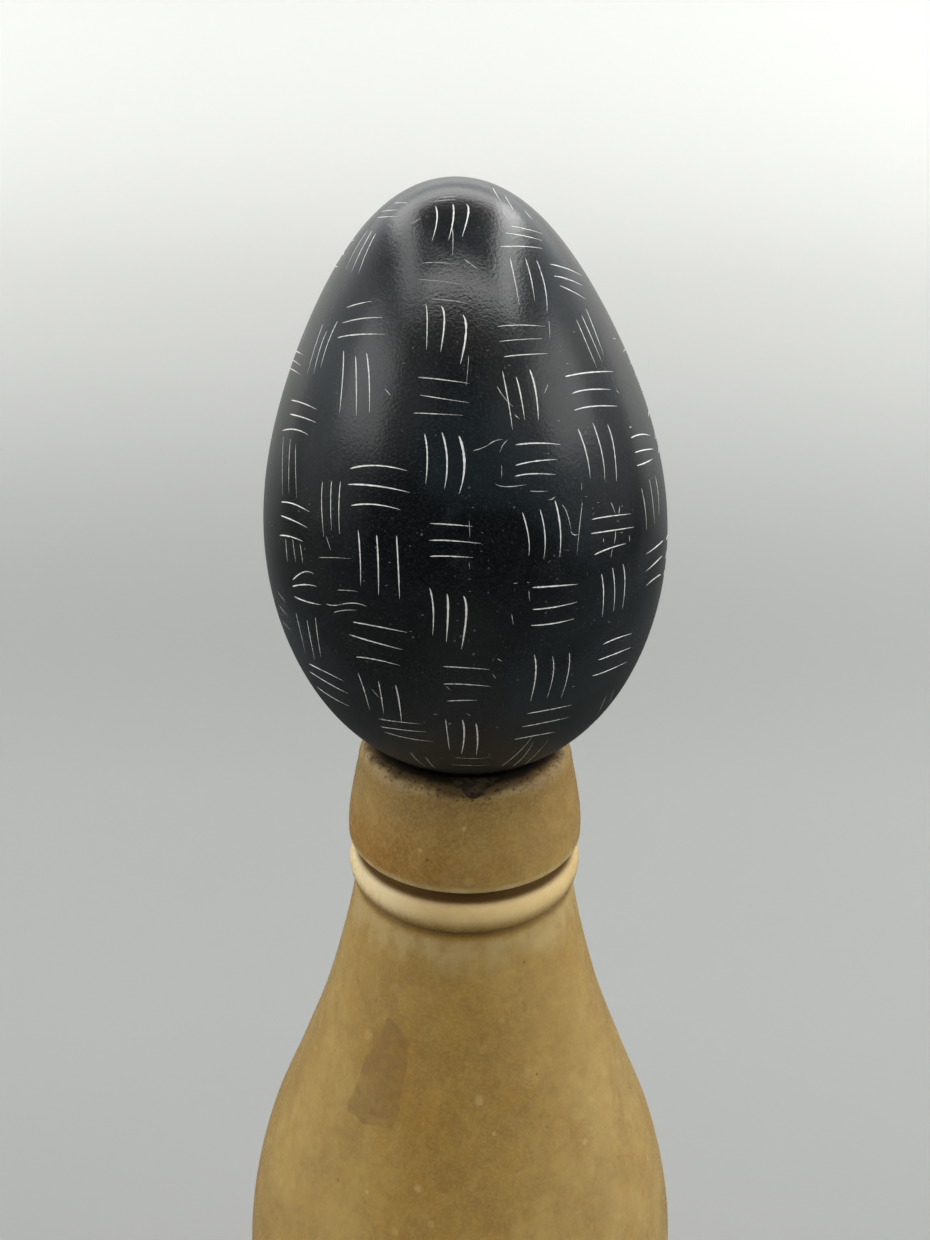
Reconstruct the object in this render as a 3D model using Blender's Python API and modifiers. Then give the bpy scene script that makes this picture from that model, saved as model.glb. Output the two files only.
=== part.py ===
# A carved stone egg resting blunt end down in the mouth of a stoneware bottle.
# Metres, +Z up. The origin is the middle of the bottle's base.

import math

import bpy

# Bottle: driving dimensions
BOTTLE_HEIGHT = 0.180
BODY_RADIUS = 0.0338
BORE_RADIUS = 0.0090
WALL = 0.0058
FLOOR = 0.0070
HEEL_ROUND = 0.0025

# Collar: the straight band round the mouth, which flares down to a sharp lower edge
COLLAR_HEIGHT = 0.0140
COLLAR_TOP_RADIUS = 0.01435
COLLAR_WAIST_RADIUS = 0.0150
COLLAR_FLARE_RADIUS = 0.01595
COLLAR_EDGE_RADIUS = 0.0152
GROOVE_RADIUS = 0.0138
GROOVE_WIDTH = 0.0017

# Bead ring under the groove, and the neck below it
BEAD_HEIGHT = 0.0047
BEAD_RADIUS = 0.0160
NECK_RADIUS = 0.0151

# Shoulder: height above the base and radius, from the neck down to the body
SHOULDER_LINE = (
    (0.1594, NECK_RADIUS),
    (0.1510, 0.0168),
    (0.1380, 0.0204),
    (0.1250, 0.0252),
    (0.1120, 0.0302),
    (0.1000, 0.0330),
    (0.0880, BODY_RADIUS),
)
INNER_NECK_END = 0.1500

# Egg: driving dimensions
EGG_LENGTH = 0.0705
EGG_WIDTH = 0.0481
EGG_TAPER = 0.187
EGG_FLANK = -0.106
EGG_ENDS = 0.137
EGG_LEAN = math.radians(2.8)
SEAT_GAP = 0.0003

# Facets
BOTTLE_SIDES = 52
EGG_SIDES = 48
EGG_STATIONS = 26
LIP_STEPS = 8
BEAD_STEPS = 7
HEEL_STEPS = 4
SHOULDER_STEPS = 14
INNER_SHOULDER_STEPS = 8
MERGE_DISTANCE = 0.00001


def clear_scene():
    for old in list(bpy.data.objects):
        bpy.data.objects.remove(old)


def make_material(name, colour, roughness):
    material = bpy.data.materials.new(name)
    material.use_nodes = True
    surface = material.node_tree.nodes["Principled BSDF"]
    surface.inputs["Base Color"].default_value = (*colour, 1.0)
    surface.inputs["Roughness"].default_value = roughness
    surface.inputs["Metallic"].default_value = 0.0
    return material


def black_stone():
    return make_material("dyed_black_stone", (0.018, 0.020, 0.022), 0.35)


def ochre_glaze():
    return make_material("ochre_salt_glaze", (0.36, 0.23, 0.09), 0.30)


def arc(centre, radius, start, end, steps):
    """Points (radius, height) on a circular arc, angles in degrees from +X."""
    points = []
    for step in range(steps + 1):
        angle = math.radians(start + (end - start) * step / steps)
        across = centre[0] + radius * math.cos(angle)
        height = centre[1] + radius * math.sin(angle)
        points.append((across, height))
    return points


def shoulder_radius(height):
    """Radius at a height: a smooth curve through the points of SHOULDER_LINE."""
    heights = [point[0] for point in SHOULDER_LINE]
    radii = [point[1] for point in SHOULDER_LINE]
    last = len(heights) - 1
    if height >= heights[0]:
        return radii[0]
    if height <= heights[last]:
        return radii[last]
    slopes = []
    for index in range(last + 1):
        before = max(index - 1, 0)
        after = min(index + 1, last)
        slopes.append((radii[after] - radii[before]) / (heights[after] - heights[before]))
    slopes[last] = 0.0
    span = next(index for index in range(last) if height >= heights[index + 1])
    width = heights[span + 1] - heights[span]
    part = (height - heights[span]) / width
    left = (1 + 2 * part) * (1 - part) ** 2 * radii[span]
    left += part * (1 - part) ** 2 * width * slopes[span]
    right = part ** 2 * (3 - 2 * part) * radii[span + 1]
    right += part ** 2 * (part - 1) * width * slopes[span + 1]
    return left + right


def inside_line():
    """The hollow, from the middle of its floor up the wall to the lip."""
    inner_radius = BODY_RADIUS - WALL
    floor_round = 0.5 * WALL
    corner = (inner_radius - floor_round, FLOOR + floor_round)
    points = [(0.0, FLOOR)]
    points += arc(corner, floor_round, -90, 0, HEEL_STEPS)
    low = SHOULDER_LINE[-1][0]
    for step in range(INNER_SHOULDER_STEPS):
        height = low + (INNER_NECK_END - low) * step / INNER_SHOULDER_STEPS
        points.append((max(shoulder_radius(height) - WALL, BORE_RADIUS), height))
    points.append((BORE_RADIUS, INNER_NECK_END))
    return points


def lip_line():
    """The rounded lip, from the bore over the top to the collar."""
    lip_round = 0.5 * (COLLAR_TOP_RADIUS - BORE_RADIUS)
    centre = (BORE_RADIUS + lip_round, BOTTLE_HEIGHT - lip_round)
    return arc(centre, lip_round, 180, 0, LIP_STEPS)


def collar_line():
    """Down the collar, round its lower edge and into the groove."""
    edge_height = BOTTLE_HEIGHT - COLLAR_HEIGHT
    edge_round = COLLAR_FLARE_RADIUS - COLLAR_EDGE_RADIUS
    return [
        (COLLAR_WAIST_RADIUS, edge_height + 0.60 * COLLAR_HEIGHT),
        (0.5 * (COLLAR_WAIST_RADIUS + COLLAR_FLARE_RADIUS), edge_height + 0.46 * COLLAR_HEIGHT),
        (COLLAR_FLARE_RADIUS, edge_height + 0.32 * COLLAR_HEIGHT),
        (COLLAR_FLARE_RADIUS, edge_height + edge_round),
        (COLLAR_EDGE_RADIUS, edge_height),
        (GROOVE_RADIUS, edge_height - 0.3 * GROOVE_WIDTH),
        (GROOVE_RADIUS, edge_height - GROOVE_WIDTH),
    ]


def bead_line():
    """The bead ring as half an ellipse standing out from the neck."""
    top = BOTTLE_HEIGHT - COLLAR_HEIGHT - GROOVE_WIDTH
    middle = top - 0.5 * BEAD_HEIGHT
    root = NECK_RADIUS - 0.0004
    points = []
    for step in range(BEAD_STEPS):
        angle = math.pi * (step + 0.5) / BEAD_STEPS
        across = root + (BEAD_RADIUS - root) * math.sin(angle)
        points.append((across, middle + 0.5 * BEAD_HEIGHT * math.cos(angle)))
    return points


def body_line():
    """Shoulder, straight body, rounded heel and base, ending on the axis."""
    top = SHOULDER_LINE[0][0]
    low = SHOULDER_LINE[-1][0]
    points = []
    for step in range(SHOULDER_STEPS + 1):
        height = top + (low - top) * step / SHOULDER_STEPS
        points.append((shoulder_radius(height), height))
    heel_centre = (BODY_RADIUS - HEEL_ROUND, HEEL_ROUND)
    points += arc(heel_centre, HEEL_ROUND, 0, -90, HEEL_STEPS)
    points.append((0.0, 0.0))
    return points


def egg_radius(along):
    """Radius where along is 1 at the pointed end and -1 at the blunt end."""
    shape = 1 - EGG_TAPER * along + EGG_FLANK * along ** 2 + EGG_ENDS * along ** 4
    return 0.5 * EGG_WIDTH * math.sqrt(max(1 - along ** 2, 0.0)) * shape


def blunt_end_round():
    """Radius of the ball that fits the blunt end."""
    shape = 1 + EGG_TAPER + EGG_FLANK + EGG_ENDS
    return (0.5 * EGG_WIDTH * shape) ** 2 / (0.5 * EGG_LENGTH)


def egg_line():
    """Half outline, top to bottom, about the centre of the blunt end's ball."""
    middle = 0.5 * EGG_LENGTH - blunt_end_round()
    points = []
    for step in range(EGG_STATIONS + 1):
        along = math.cos(math.pi * step / EGG_STATIONS)
        points.append((egg_radius(along), middle + 0.5 * EGG_LENGTH * along))
    points[0] = (0.0, points[0][1])
    points[-1] = (0.0, points[-1][1])
    return points


def seat_height():
    """Height of the blunt end's ball centre when the ball sits on the lip."""
    lip_round = 0.5 * (COLLAR_TOP_RADIUS - BORE_RADIUS)
    across = BORE_RADIUS + lip_round
    reach = blunt_end_round() + lip_round + SEAT_GAP
    return BOTTLE_HEIGHT - lip_round + math.sqrt(reach ** 2 - across ** 2)


def turned(name, outline, sides, material, collection):
    """Turn an outline, given as (radius, height), about the Z axis."""
    mesh = bpy.data.meshes.new(name)
    points = [(across, 0.0, height) for across, height in outline]
    edges = [(index, index + 1) for index in range(len(points) - 1)]
    mesh.from_pydata(points, edges, [])
    mesh.materials.append(material)
    piece = bpy.data.objects.new(name, mesh)
    collection.objects.link(piece)
    turn = piece.modifiers.new("turn", "SCREW")
    turn.axis = "Z"
    turn.angle = math.tau
    turn.steps = sides
    turn.render_steps = sides
    turn.use_merge_vertices = True
    turn.merge_threshold = MERGE_DISTANCE
    turn.use_smooth_shade = True
    return piece


clear_scene()
collection = bpy.data.collections.new("carved_egg_on_bottle")
bpy.context.scene.collection.children.link(collection)

bottle_outline = inside_line() + lip_line() + collar_line() + bead_line() + body_line()
turned("stoneware_bottle", bottle_outline, BOTTLE_SIDES, ochre_glaze(), collection)

egg = turned("carved_egg", egg_line(), EGG_SIDES, black_stone(), collection)
egg.location = (0.0, 0.0, seat_height())
egg.rotation_euler = (0.0, -EGG_LEAN, 0.0)
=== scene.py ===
# A dark carved stone egg that stands in the mouth of an ochre stoneware bottle.
# Metres, +Z up. The photographed side faces -Y.

import math
import random

import bpy
import numpy as np
from mathutils import Matrix, Vector, noise
from mathutils.bvhtree import BVHTree


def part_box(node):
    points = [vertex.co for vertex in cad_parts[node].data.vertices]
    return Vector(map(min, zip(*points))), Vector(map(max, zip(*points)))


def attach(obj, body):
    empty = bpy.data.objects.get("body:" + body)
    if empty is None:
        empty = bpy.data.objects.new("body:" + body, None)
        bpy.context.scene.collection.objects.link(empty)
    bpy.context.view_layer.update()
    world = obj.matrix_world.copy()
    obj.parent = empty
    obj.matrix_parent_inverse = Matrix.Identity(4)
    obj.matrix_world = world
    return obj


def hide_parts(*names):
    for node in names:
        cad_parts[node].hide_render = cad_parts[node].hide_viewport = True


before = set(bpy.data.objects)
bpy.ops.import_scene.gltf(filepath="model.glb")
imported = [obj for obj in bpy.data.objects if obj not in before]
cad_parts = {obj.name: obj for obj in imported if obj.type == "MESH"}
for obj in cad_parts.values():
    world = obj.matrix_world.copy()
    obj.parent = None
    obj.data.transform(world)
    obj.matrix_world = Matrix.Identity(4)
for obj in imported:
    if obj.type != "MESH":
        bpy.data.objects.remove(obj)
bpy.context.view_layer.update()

# Camera
# It stands where the photograph was taken from, level with the egg's tip and looking 21 degrees down. Its
# place and lens were fitted to the round edges of the bottle's lip, collar and bead ring.

PHOTO_WIDTH = 930
PHOTO_HEIGHT = 1240
FOCAL_PIXELS = 1000.0
SENSOR_LONG_SIDE = 36.0
CAMERA_PLACE = Vector((-0.00026, -0.11879, 0.24237))
CAMERA_DIP = math.radians(21.14)
CAMERA_ROLL = math.radians(0.62)

camera_data = bpy.data.cameras.new("camera")
camera_data.sensor_width = SENSOR_LONG_SIDE
camera_data.lens = SENSOR_LONG_SIDE * FOCAL_PIXELS / PHOTO_HEIGHT
camera_data.clip_start = 0.005
camera = bpy.data.objects.new("camera", camera_data)
bpy.context.scene.collection.objects.link(camera)
camera_turn = Matrix.Rotation(math.pi / 2 - CAMERA_DIP, 3, "X") @ Matrix.Rotation(CAMERA_ROLL, 3, "Z")
camera.matrix_world = Matrix.Translation(CAMERA_PLACE) @ camera_turn.to_4x4()
bpy.context.scene.camera = camera

# Floor, backdrop and light
# A pale paper sweep under the object and up behind it. Strips of light hang overhead in a square, which the
# stone mirrors as a pale frame, with two soft boxes in front and three lamps that it doesn't mirror. A dark
# screen behind the camera keeps the stone's front deep.

SWEEP_FRONT = -1.6
SWEEP_BEND = 0.24
SWEEP_BEND_RADIUS = 0.22
SWEEP_TOP = 0.50
SWEEP_HALF_WIDTH = 1.7
SWEEP_STEPS = 24
FLOOR_PAPER = (0.350, 0.355, 0.345, 1.0)
FRONT_BOUNCE = (0.130, 0.134, 0.126, 1.0)
SIDE_BOUNCE = (0.520, 0.520, 0.480, 1.0)
SIDE_MIRRORED = (0.060, 0.065, 0.062, 1.0)
SIDE_BOUNCE_FROM = (0.04, 0.14)
WALL_PAPER = (0.920, 0.925, 0.905, 1.0)
WALL_PALE_AT = 0.34
WALL_MIRRORED_PALE_AT = 0.48
WALL_GLOW = 0.10
ROOM_SEEN = (0.80, 0.81, 0.80, 1.0)
ROOM_BRIGHTEST = 2.0
ROOM_LIGHT = {-0.20: 0.05, 0.0: 0.18, 0.07: 0.23, 0.34: 0.34, 0.50: 0.46, 0.62: 0.44, 0.72: 0.20,
              0.85: 0.10, 1.0: 0.09}
ROOM_TINT = (0.96, 1.00, 1.01, 1.0)
FRONT_SHARE = 0.45
BACK_SHARE = 1.80
STRIP_HEIGHT = 1.02
STRIPS = {
    "left_back": ((-0.50, 0.40), (0.26, 0.50), 3.6),
    "left_front": ((-0.48, -0.14), (0.20, 0.56), 3.0),
    "right_back": ((0.455, 0.40), (0.23, 0.50), 6.6),
    "right_front": ((0.45, -0.14), (0.22, 0.56), 5.4),
    "back": ((-0.02, 0.49), (0.70, 0.32), 3.4),
    "front": ((-0.02, -0.39), (0.70, 0.13), 6.0),
}
SOFT_BOXES = {
    "left": ((-0.90, -0.38, 0.78), (0.60, 0.46), 1.65),
    "right": ((0.93, -0.30, 0.78), (0.66, 0.46), 1.6),
}
HIDDEN_LAMPS = {
    "left": ((-0.86, 0.02, 0.30), (0.60, 0.60), 2.3),
    "right": ((0.86, 0.02, 0.30), (0.60, 0.60), 2.7),
    "front": ((0.0, -0.70, 0.50), (0.80, 0.40), 0.40),
}
LAMPS_AIM_AT = Vector((0.0, 0.0, 0.17))
DARK_SCREEN = (0.018, 0.018, 0.018, 1.0)
SCREEN_Y = -0.75
SCREEN_LINE = ((1.10, 0.0), (1.10, 0.40), (0.45, 0.56), (0.24, 0.72), (0.17, 0.94))


def put(tree, kind, inputs=(), **settings):
    """Add a node, then set what it is told and set or link its inputs."""
    made = tree.nodes.new(kind)
    for name, value in settings.items():
        setattr(made, name, value)
    for name, value in dict(inputs).items():
        if isinstance(value, bpy.types.NodeSocket):
            tree.links.new(value, made.inputs[name])
        else:
            made.inputs[name].default_value = value
    return made


def math_node(tree, operation, first, second=0.0, third=0.0):
    """One sum, as the socket that holds its result."""
    made = put(tree, "ShaderNodeMath", {0: first, 1: second, 2: third}, operation=operation)
    return made.outputs[0]


def times(tree, *values):
    """The product of several values."""
    result = values[0]
    for value in values[1:]:
        result = math_node(tree, "MULTIPLY", result, value)
    return result


def plus(tree, value, *added):
    """A value with shares of others added to it."""
    for other, share in added:
        value = math_node(tree, "MULTIPLY_ADD", other, share, value)
    return value


def parts_of(tree, place):
    """The X, Y and Z of a place."""
    return put(tree, "ShaderNodeSeparateXYZ", {0: place}).outputs


def start_finish(name, colour, roughness):
    """A new material with an even colour, and the shader node that later steps give its pattern."""
    material = bpy.data.materials.new(name)
    material.use_nodes = True
    surface = material.node_tree.nodes["Principled BSDF"]
    surface.inputs["Base Color"].default_value = colour
    surface.inputs["Roughness"].default_value = roughness
    return material, surface


def ease(tree, value, low, high, to_low=0.0, to_high=1.0):
    """A value that goes smoothly from one level to another as the given one goes from low to high."""
    sockets = {"Value": value, "From Min": low, "From Max": high, "To Min": to_low, "To Max": to_high}
    return put(tree, "ShaderNodeMapRange", sockets, interpolation_type="SMOOTHSTEP").outputs[0]


def tint(tree, share, under, over):
    """The colour under, covered by the colour over where share is 1."""
    return put(tree, "ShaderNodeMix", {0: share, 6: under, 7: over}, data_type="RGBA").outputs[2]


def stand_sheet(name, line, colour):
    """A sheet across X that follows a line of points, each its half width, y and z, and its material."""
    points = [(side * half_width, y, z) for half_width, y, z in line for side in (-1, 1)]
    faces = [(2 * row, 2 * row + 1, 2 * row + 3, 2 * row + 2) for row in range(len(line) - 1)]
    mesh = bpy.data.meshes.new(name)
    mesh.from_pydata(points, [], faces)
    mesh.shade_smooth()
    paper = start_finish(name + "_paper", colour, 0.9)[0]
    mesh.materials.append(paper)
    sheet = bpy.data.objects.new(name, mesh)
    bpy.context.scene.collection.objects.link(sheet)
    return sheet, paper


def colour_paper(paper):
    """The paper is palest on the wall. The floor gives little light in front, and is dark in the stone."""
    tree = paper.node_tree
    place = put(tree, "ShaderNodeTexCoord").outputs["Object"]
    parts = parts_of(tree, place)
    height = parts["Z"]
    rays = put(tree, "ShaderNodeLightPath").outputs
    beside = math_node(tree, "ABSOLUTE", parts["X"])
    side = tint(tree, rays["Is Glossy Ray"], SIDE_BOUNCE, SIDE_MIRRORED)
    bounce = tint(tree, ease(tree, beside, *SIDE_BOUNCE_FROM), FRONT_BOUNCE, side)
    floor = tint(tree, rays["Is Camera Ray"], bounce, FLOOR_PAPER)
    seen_rise = times(tree, ease(tree, height, 0.02, WALL_PALE_AT), rays["Is Camera Ray"])
    other_rise = times(tree, ease(tree, height, -0.02, WALL_MIRRORED_PALE_AT),
                       math_node(tree, "SUBTRACT", 1.0, rays["Is Camera Ray"]))
    colour = tint(tree, math_node(tree, "ADD", seen_rise, other_rise), floor, WALL_PAPER)
    surface = tree.nodes["Principled BSDF"]
    tree.links.new(colour, surface.inputs["Base Color"])
    tree.links.new(colour, surface.inputs["Emission Color"])
    tree.links.new(times(tree, seen_rise, WALL_GLOW), surface.inputs["Emission Strength"])


def sweep_line():
    """The floor, a round bend and the backdrop, from front to top."""
    line = [(SWEEP_HALF_WIDTH, SWEEP_FRONT, 0.0)]
    for step in range(SWEEP_STEPS + 1):
        angle = 0.5 * math.pi * step / SWEEP_STEPS
        along = SWEEP_BEND + SWEEP_BEND_RADIUS * math.sin(angle)
        line.append((SWEEP_HALF_WIDTH, along, SWEEP_BEND_RADIUS * (1 - math.cos(angle))))
    line.append((SWEEP_HALF_WIDTH, SWEEP_BEND + SWEEP_BEND_RADIUS, SWEEP_TOP))
    return line


def hang_lamp(name, place, size, brightness):
    """A soft rectangular light of an even brightness, that shines straight down."""
    lamp = bpy.data.lights.new(name, "AREA")
    lamp.shape = "RECTANGLE"
    lamp.size, lamp.size_y = size
    lamp.energy = brightness * math.pi * size[0] * size[1]
    hung = bpy.data.objects.new(name, lamp)
    hung.location = place
    bpy.context.scene.collection.objects.link(hung)
    return hung


def set_curve(node, points):
    """Give a Float Curve node its points, from 0 to 1 across."""
    first, *between, last = sorted(points.items())
    curve = node.mapping.curves[0]
    for across, high in between:
        curve.points.new(across, high)
    curve.points[0].location = first
    curve.points[-1].location = last
    node.mapping.update()


def light_room():
    """The room round the set, brightest half way up its back wall, and pale to the camera."""
    world = bpy.data.worlds.new("room")
    world.use_nodes = True
    tree = world.node_tree
    direction = put(tree, "ShaderNodeTexCoord").outputs["Generated"]
    parts = parts_of(tree, direction)
    lowest, highest = min(ROOM_LIGHT), max(ROOM_LIGHT)
    rise = put(tree, "ShaderNodeMapRange", {"Value": parts["Z"], "From Min": lowest, "From Max": highest})
    walls = put(tree, "ShaderNodeFloatCurve", {"Value": rise.outputs[0]})
    span = highest - lowest
    set_curve(walls, {(height - lowest) / span: level for height, level in ROOM_LIGHT.items()})
    facing = math_node(tree, "ADD", ease(tree, parts["Y"], -0.65, -0.15, FRONT_SHARE, 1.0),
                       ease(tree, parts["Y"], 0.30, 0.75, 0.0, BACK_SHARE - 1.0))
    strength = times(tree, walls.outputs[0], facing, ROOM_BRIGHTEST)
    seen = put(tree, "ShaderNodeLightPath").outputs["Is Camera Ray"]
    background = tree.nodes["Background"]
    tree.links.new(tint(tree, seen, ROOM_TINT, ROOM_SEEN), background.inputs["Color"])
    level = math_node(tree, "ADD", seen, times(tree, strength, math_node(tree, "SUBTRACT", 1.0, seen)))
    tree.links.new(level, background.inputs["Strength"])
    bpy.context.scene.world = world


colour_paper(stand_sheet("floor", sweep_line(), FLOOR_PAPER)[1])
for strip_name, (strip_place, strip_size, strip_brightness) in STRIPS.items():
    hang_lamp("strip_" + strip_name, (*strip_place, STRIP_HEIGHT), strip_size, strip_brightness)
for kind, lamps in (("soft_box_", SOFT_BOXES), ("hidden_lamp_", HIDDEN_LAMPS)):
    for side, hanging in lamps.items():
        lamp = hang_lamp(kind + side, *hanging)
        lamp.rotation_euler = (LAMPS_AIM_AT - lamp.location).to_track_quat("-Z", "Y").to_euler()
        lamp.visible_glossy = lamps is SOFT_BOXES
screen_line = [(half_width, SCREEN_Y, height) for half_width, height in SCREEN_LINE]
screen = stand_sheet("dark_screen", screen_line, DARK_SCREEN)[0]
screen.visible_camera = False
light_room()
bpy.context.scene.view_settings.view_transform = "Standard"

# Stoneware bottle
# It is thrown in one piece on the wheel, with a straight collar, a cut groove and a bead ring under it,
# then salt glazed a mottled honey ochre and fired. It stands loose on its bare clay base and is the egg's
# stand.

BOTTLE_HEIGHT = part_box("stoneware_bottle")[1].z
BODY_RADIUS = 0.0338
BORE_RADIUS = 0.0090
WALL = 0.0058
FLOOR = 0.0070
HEEL_ROUND = 0.0025
COLLAR_HEIGHT = 0.0140
COLLAR_TOP_RADIUS = 0.01435
COLLAR_FLARE_RADIUS = 0.01595
COLLAR_EDGE_ROUND = 0.00065
COLLAR_LINE = (
    (0.17733, COLLAR_TOP_RADIUS),
    (0.17440, 0.01500),
    (0.17100, 0.01563),
    (0.16850, 0.01592),
    (0.16665, COLLAR_FLARE_RADIUS),
)
COLLAR_LINE_TOP = 0.1771
COLLAR_UNDERSIDE = ((0.01475, 0.00003), (0.01430, 0.00010), (0.01400, 0.00025))
COLLAR_UNDERSIDE_END = 0.0005
GROOVE_RADIUS = 0.0138
GROOVE_WIDTH = 0.0017
BEAD_HEIGHT = 0.0047
BEAD_RADIUS = 0.0160
BEAD_ROOT = 0.0005
NECK_RADIUS = 0.0151
SHOULDER_LINE = (
    (0.1594, NECK_RADIUS),
    (0.1510, 0.0168),
    (0.1380, 0.0204),
    (0.1250, 0.0252),
    (0.1120, 0.0302),
    (0.1000, 0.0330),
    (0.0880, BODY_RADIUS),
)
HOLLOW_SIDE_START = 0.02
INNER_NECK_END = 0.1500
INNER_LIP_START = BOTTLE_HEIGHT - 0.0030
BOTTLE_SIDES = 256
DENT_DEPTH = 0.00016
DENT_SCALE = 42.0
DENT_SEED = 5.0
THROWING_RING_DEPTH = 0.00005
THROWING_RING_STRETCH = (14.0, 14.0, 330.0)
BASE_FLAT = 0.004
SAME_POINT = 0.000001

# Read in the photograph, as pixels: a chip in the lip, a greyer patch on the shoulder, and spots in
# the glaze. A spot is its middle and its width.
CHIP_OUTLINE = ((452, 778), (500, 778), (492, 785), (486, 790), (480, 796), (473, 799), (467, 797),
                (461, 790.5), (456, 786))
PATCH_OUTLINE = ((387, 1015), (397, 1022), (407, 1041), (406, 1070), (400, 1109), (394, 1128), (380, 1129),
                 (361, 1121), (345, 1110), (351, 1094), (358, 1081), (364, 1059), (380, 1036))
CHIP_DEPTH = 0.00055
CHIP_STEEPNESS = 2.2
CHIP_SHELL_SCALE = 1500.0
CHIP_SHELL_DEPTH = 0.35
TURNED_AWAY = -20.0
IRON_SPOTS = {
    "lip": ((494, 791, 3.0), (438, 795, 2.2), (459, 794, 2.0), (488, 793.5, 2.0), (503, 788, 2.4),
            (448, 805, 2.6), (463, 799, 1.4), (526, 781, 2.0), (412, 781, 2.2)),
    "collar": ((454, 841, 3.2), (470, 856, 1.6), (511, 812, 1.8)),
    "shoulder": ((413, 956, 2.6), (524, 962, 3.4), (554, 921, 2.6), (537, 1074, 3.6), (376, 1000, 3.0),
                 (547, 1127, 3.0), (606, 1127, 2.4), (526, 1084, 1.8), (542, 1050, 1.8), (415, 1145, 1.6),
                 (561, 950, 1.4), (517, 1171, 2.6)),
}
PALE_SPOTS = {
    "collar": ((464, 829, 8.0), (420, 850, 6.5)),
    "shoulder": ((585, 1142, 8.5), (479, 1101, 13.0), (418, 1189, 10.0), (367, 1192, 6.0),
                 (494, 1134, 6.0)),
}

# Where marks lie on the glaze, as the way down from the lip's crown in millimetres: where a mark starts, is
# full, begins to fade and ends.
HIGH_COLLAR = (0.5, 2.0, 4.5, 9.0)
MIDDLE_COLLAR = (1.0, 4.0, 11.0, 15.0)
LOW_COLLAR = (6.0, 13.0, 14.8, 15.4)
WORN_LIP = (0.4, 1.7, 2.2, 3.8)
# A pale line on the collar's rounded lower edge: worn glaze and a painted highlight.
WORN_EDGE_AND_HIGHLIGHT = (14.4, 15.15, 15.5, 15.8)
GROOVE = (15.75, 16.3, 19.3, 20.7)
# The bead ring is cream on its upper part, fading lower down: its paler glaze with painted light on top.
BEAD_CREAM_AND_TOP_LIGHT = (19.4, 20.4, 21.4, 24.4)
# Painted shade: dark brown over the bead's lower half and in the crease under it.
UNDER_BEAD_SHADE = (22.0, 25.0, 25.7, 26.7)

HONEY = (0.385, 0.227, 0.050, 1.0)
DULL_TAN = (0.345, 0.211, 0.060, 1.0)
OLIVE_TAN = (0.300, 0.200, 0.066, 1.0)
# A paler khaki, for painted sheen on the bottle's left and right sides.
SHEEN_KHAKI = (0.440, 0.332, 0.146, 1.0)
BURNT_ORANGE = (0.285, 0.130, 0.018, 1.0)
PALE_GOLD = (0.500, 0.345, 0.110, 1.0)
CREAM = (0.740, 0.540, 0.255, 1.0)
HIGHLIGHT_CREAM = (0.780, 0.630, 0.370, 1.0)
BEIGE = (0.500, 0.375, 0.175, 1.0)
GREY_PATCH = (0.215, 0.128, 0.046, 1.0)
IRON_BROWN = (0.075, 0.030, 0.010, 1.0)
GROOVE_BROWN = (0.135, 0.068, 0.016, 1.0)
OLD_DIRT = (0.085, 0.048, 0.017, 1.0)
# Near black: soot, and painted shade where the egg sits on the lip.
SOOT_AND_SHADE_BLACK = (0.014, 0.010, 0.006, 1.0)
CHIPPED_CLAY = (0.088, 0.063, 0.034, 1.0)
BARE_CLAY = (0.430, 0.330, 0.215, 1.0)


def ring_arc(centre, across, up, start, end, steps):
    """Points (radius, height) on part of an ellipse, angles in degrees from +X."""
    points = []
    for step in range(steps + 1):
        angle = math.radians(start + (end - start) * step / steps)
        points.append((centre[0] + across * math.cos(angle), centre[1] + up * math.sin(angle)))
    return points


def radius_on(line, height):
    """Radius at a height on a smooth curve through (height, radius) points that run downwards."""
    heights = [point[0] for point in line]
    radii = [point[1] for point in line]
    last = len(line) - 1
    if height >= heights[0]:
        return radii[0]
    if height <= heights[last]:
        return radii[last]
    slopes = []
    for index in range(last + 1):
        before, after = max(index - 1, 0), min(index + 1, last)
        slopes.append((radii[after] - radii[before]) / (heights[after] - heights[before]))
    slopes[last] = 0.0
    span = next(index for index in range(last) if height >= heights[index + 1])
    width = heights[span + 1] - heights[span]
    part = (height - heights[span]) / width
    left = (1 + 2 * part) * (1 - part) ** 2 * radii[span]
    left += part * (1 - part) ** 2 * width * slopes[span]
    right = part ** 2 * (3 - 2 * part) * radii[span + 1]
    right += part ** 2 * (part - 1) * width * slopes[span + 1]
    return left + right


def heights_between(high, low, steps):
    """Even steps from one height towards another, without the last."""
    return [high + (low - high) * step / steps for step in range(steps)]


def hollow_line():
    """From the middle of the hollow's floor up the wall to the lip."""
    inner = BODY_RADIUS - WALL
    corner = (inner - 0.5 * WALL, FLOOR + 0.5 * WALL)
    points = [(corner[0] * step / 5, FLOOR) for step in range(5)]
    points += ring_arc(corner, 0.5 * WALL, 0.5 * WALL, -90, 0, 5)
    points += [(inner, height) for height in heights_between(HOLLOW_SIDE_START, SHOULDER_LINE[-1][0], 6)]
    for height in heights_between(SHOULDER_LINE[-1][0], INNER_NECK_END, 18):
        points.append((max(radius_on(SHOULDER_LINE, height) - WALL, BORE_RADIUS), height))
    points += [(BORE_RADIUS, height) for height in heights_between(INNER_NECK_END, INNER_LIP_START, 8)]
    return points


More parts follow.
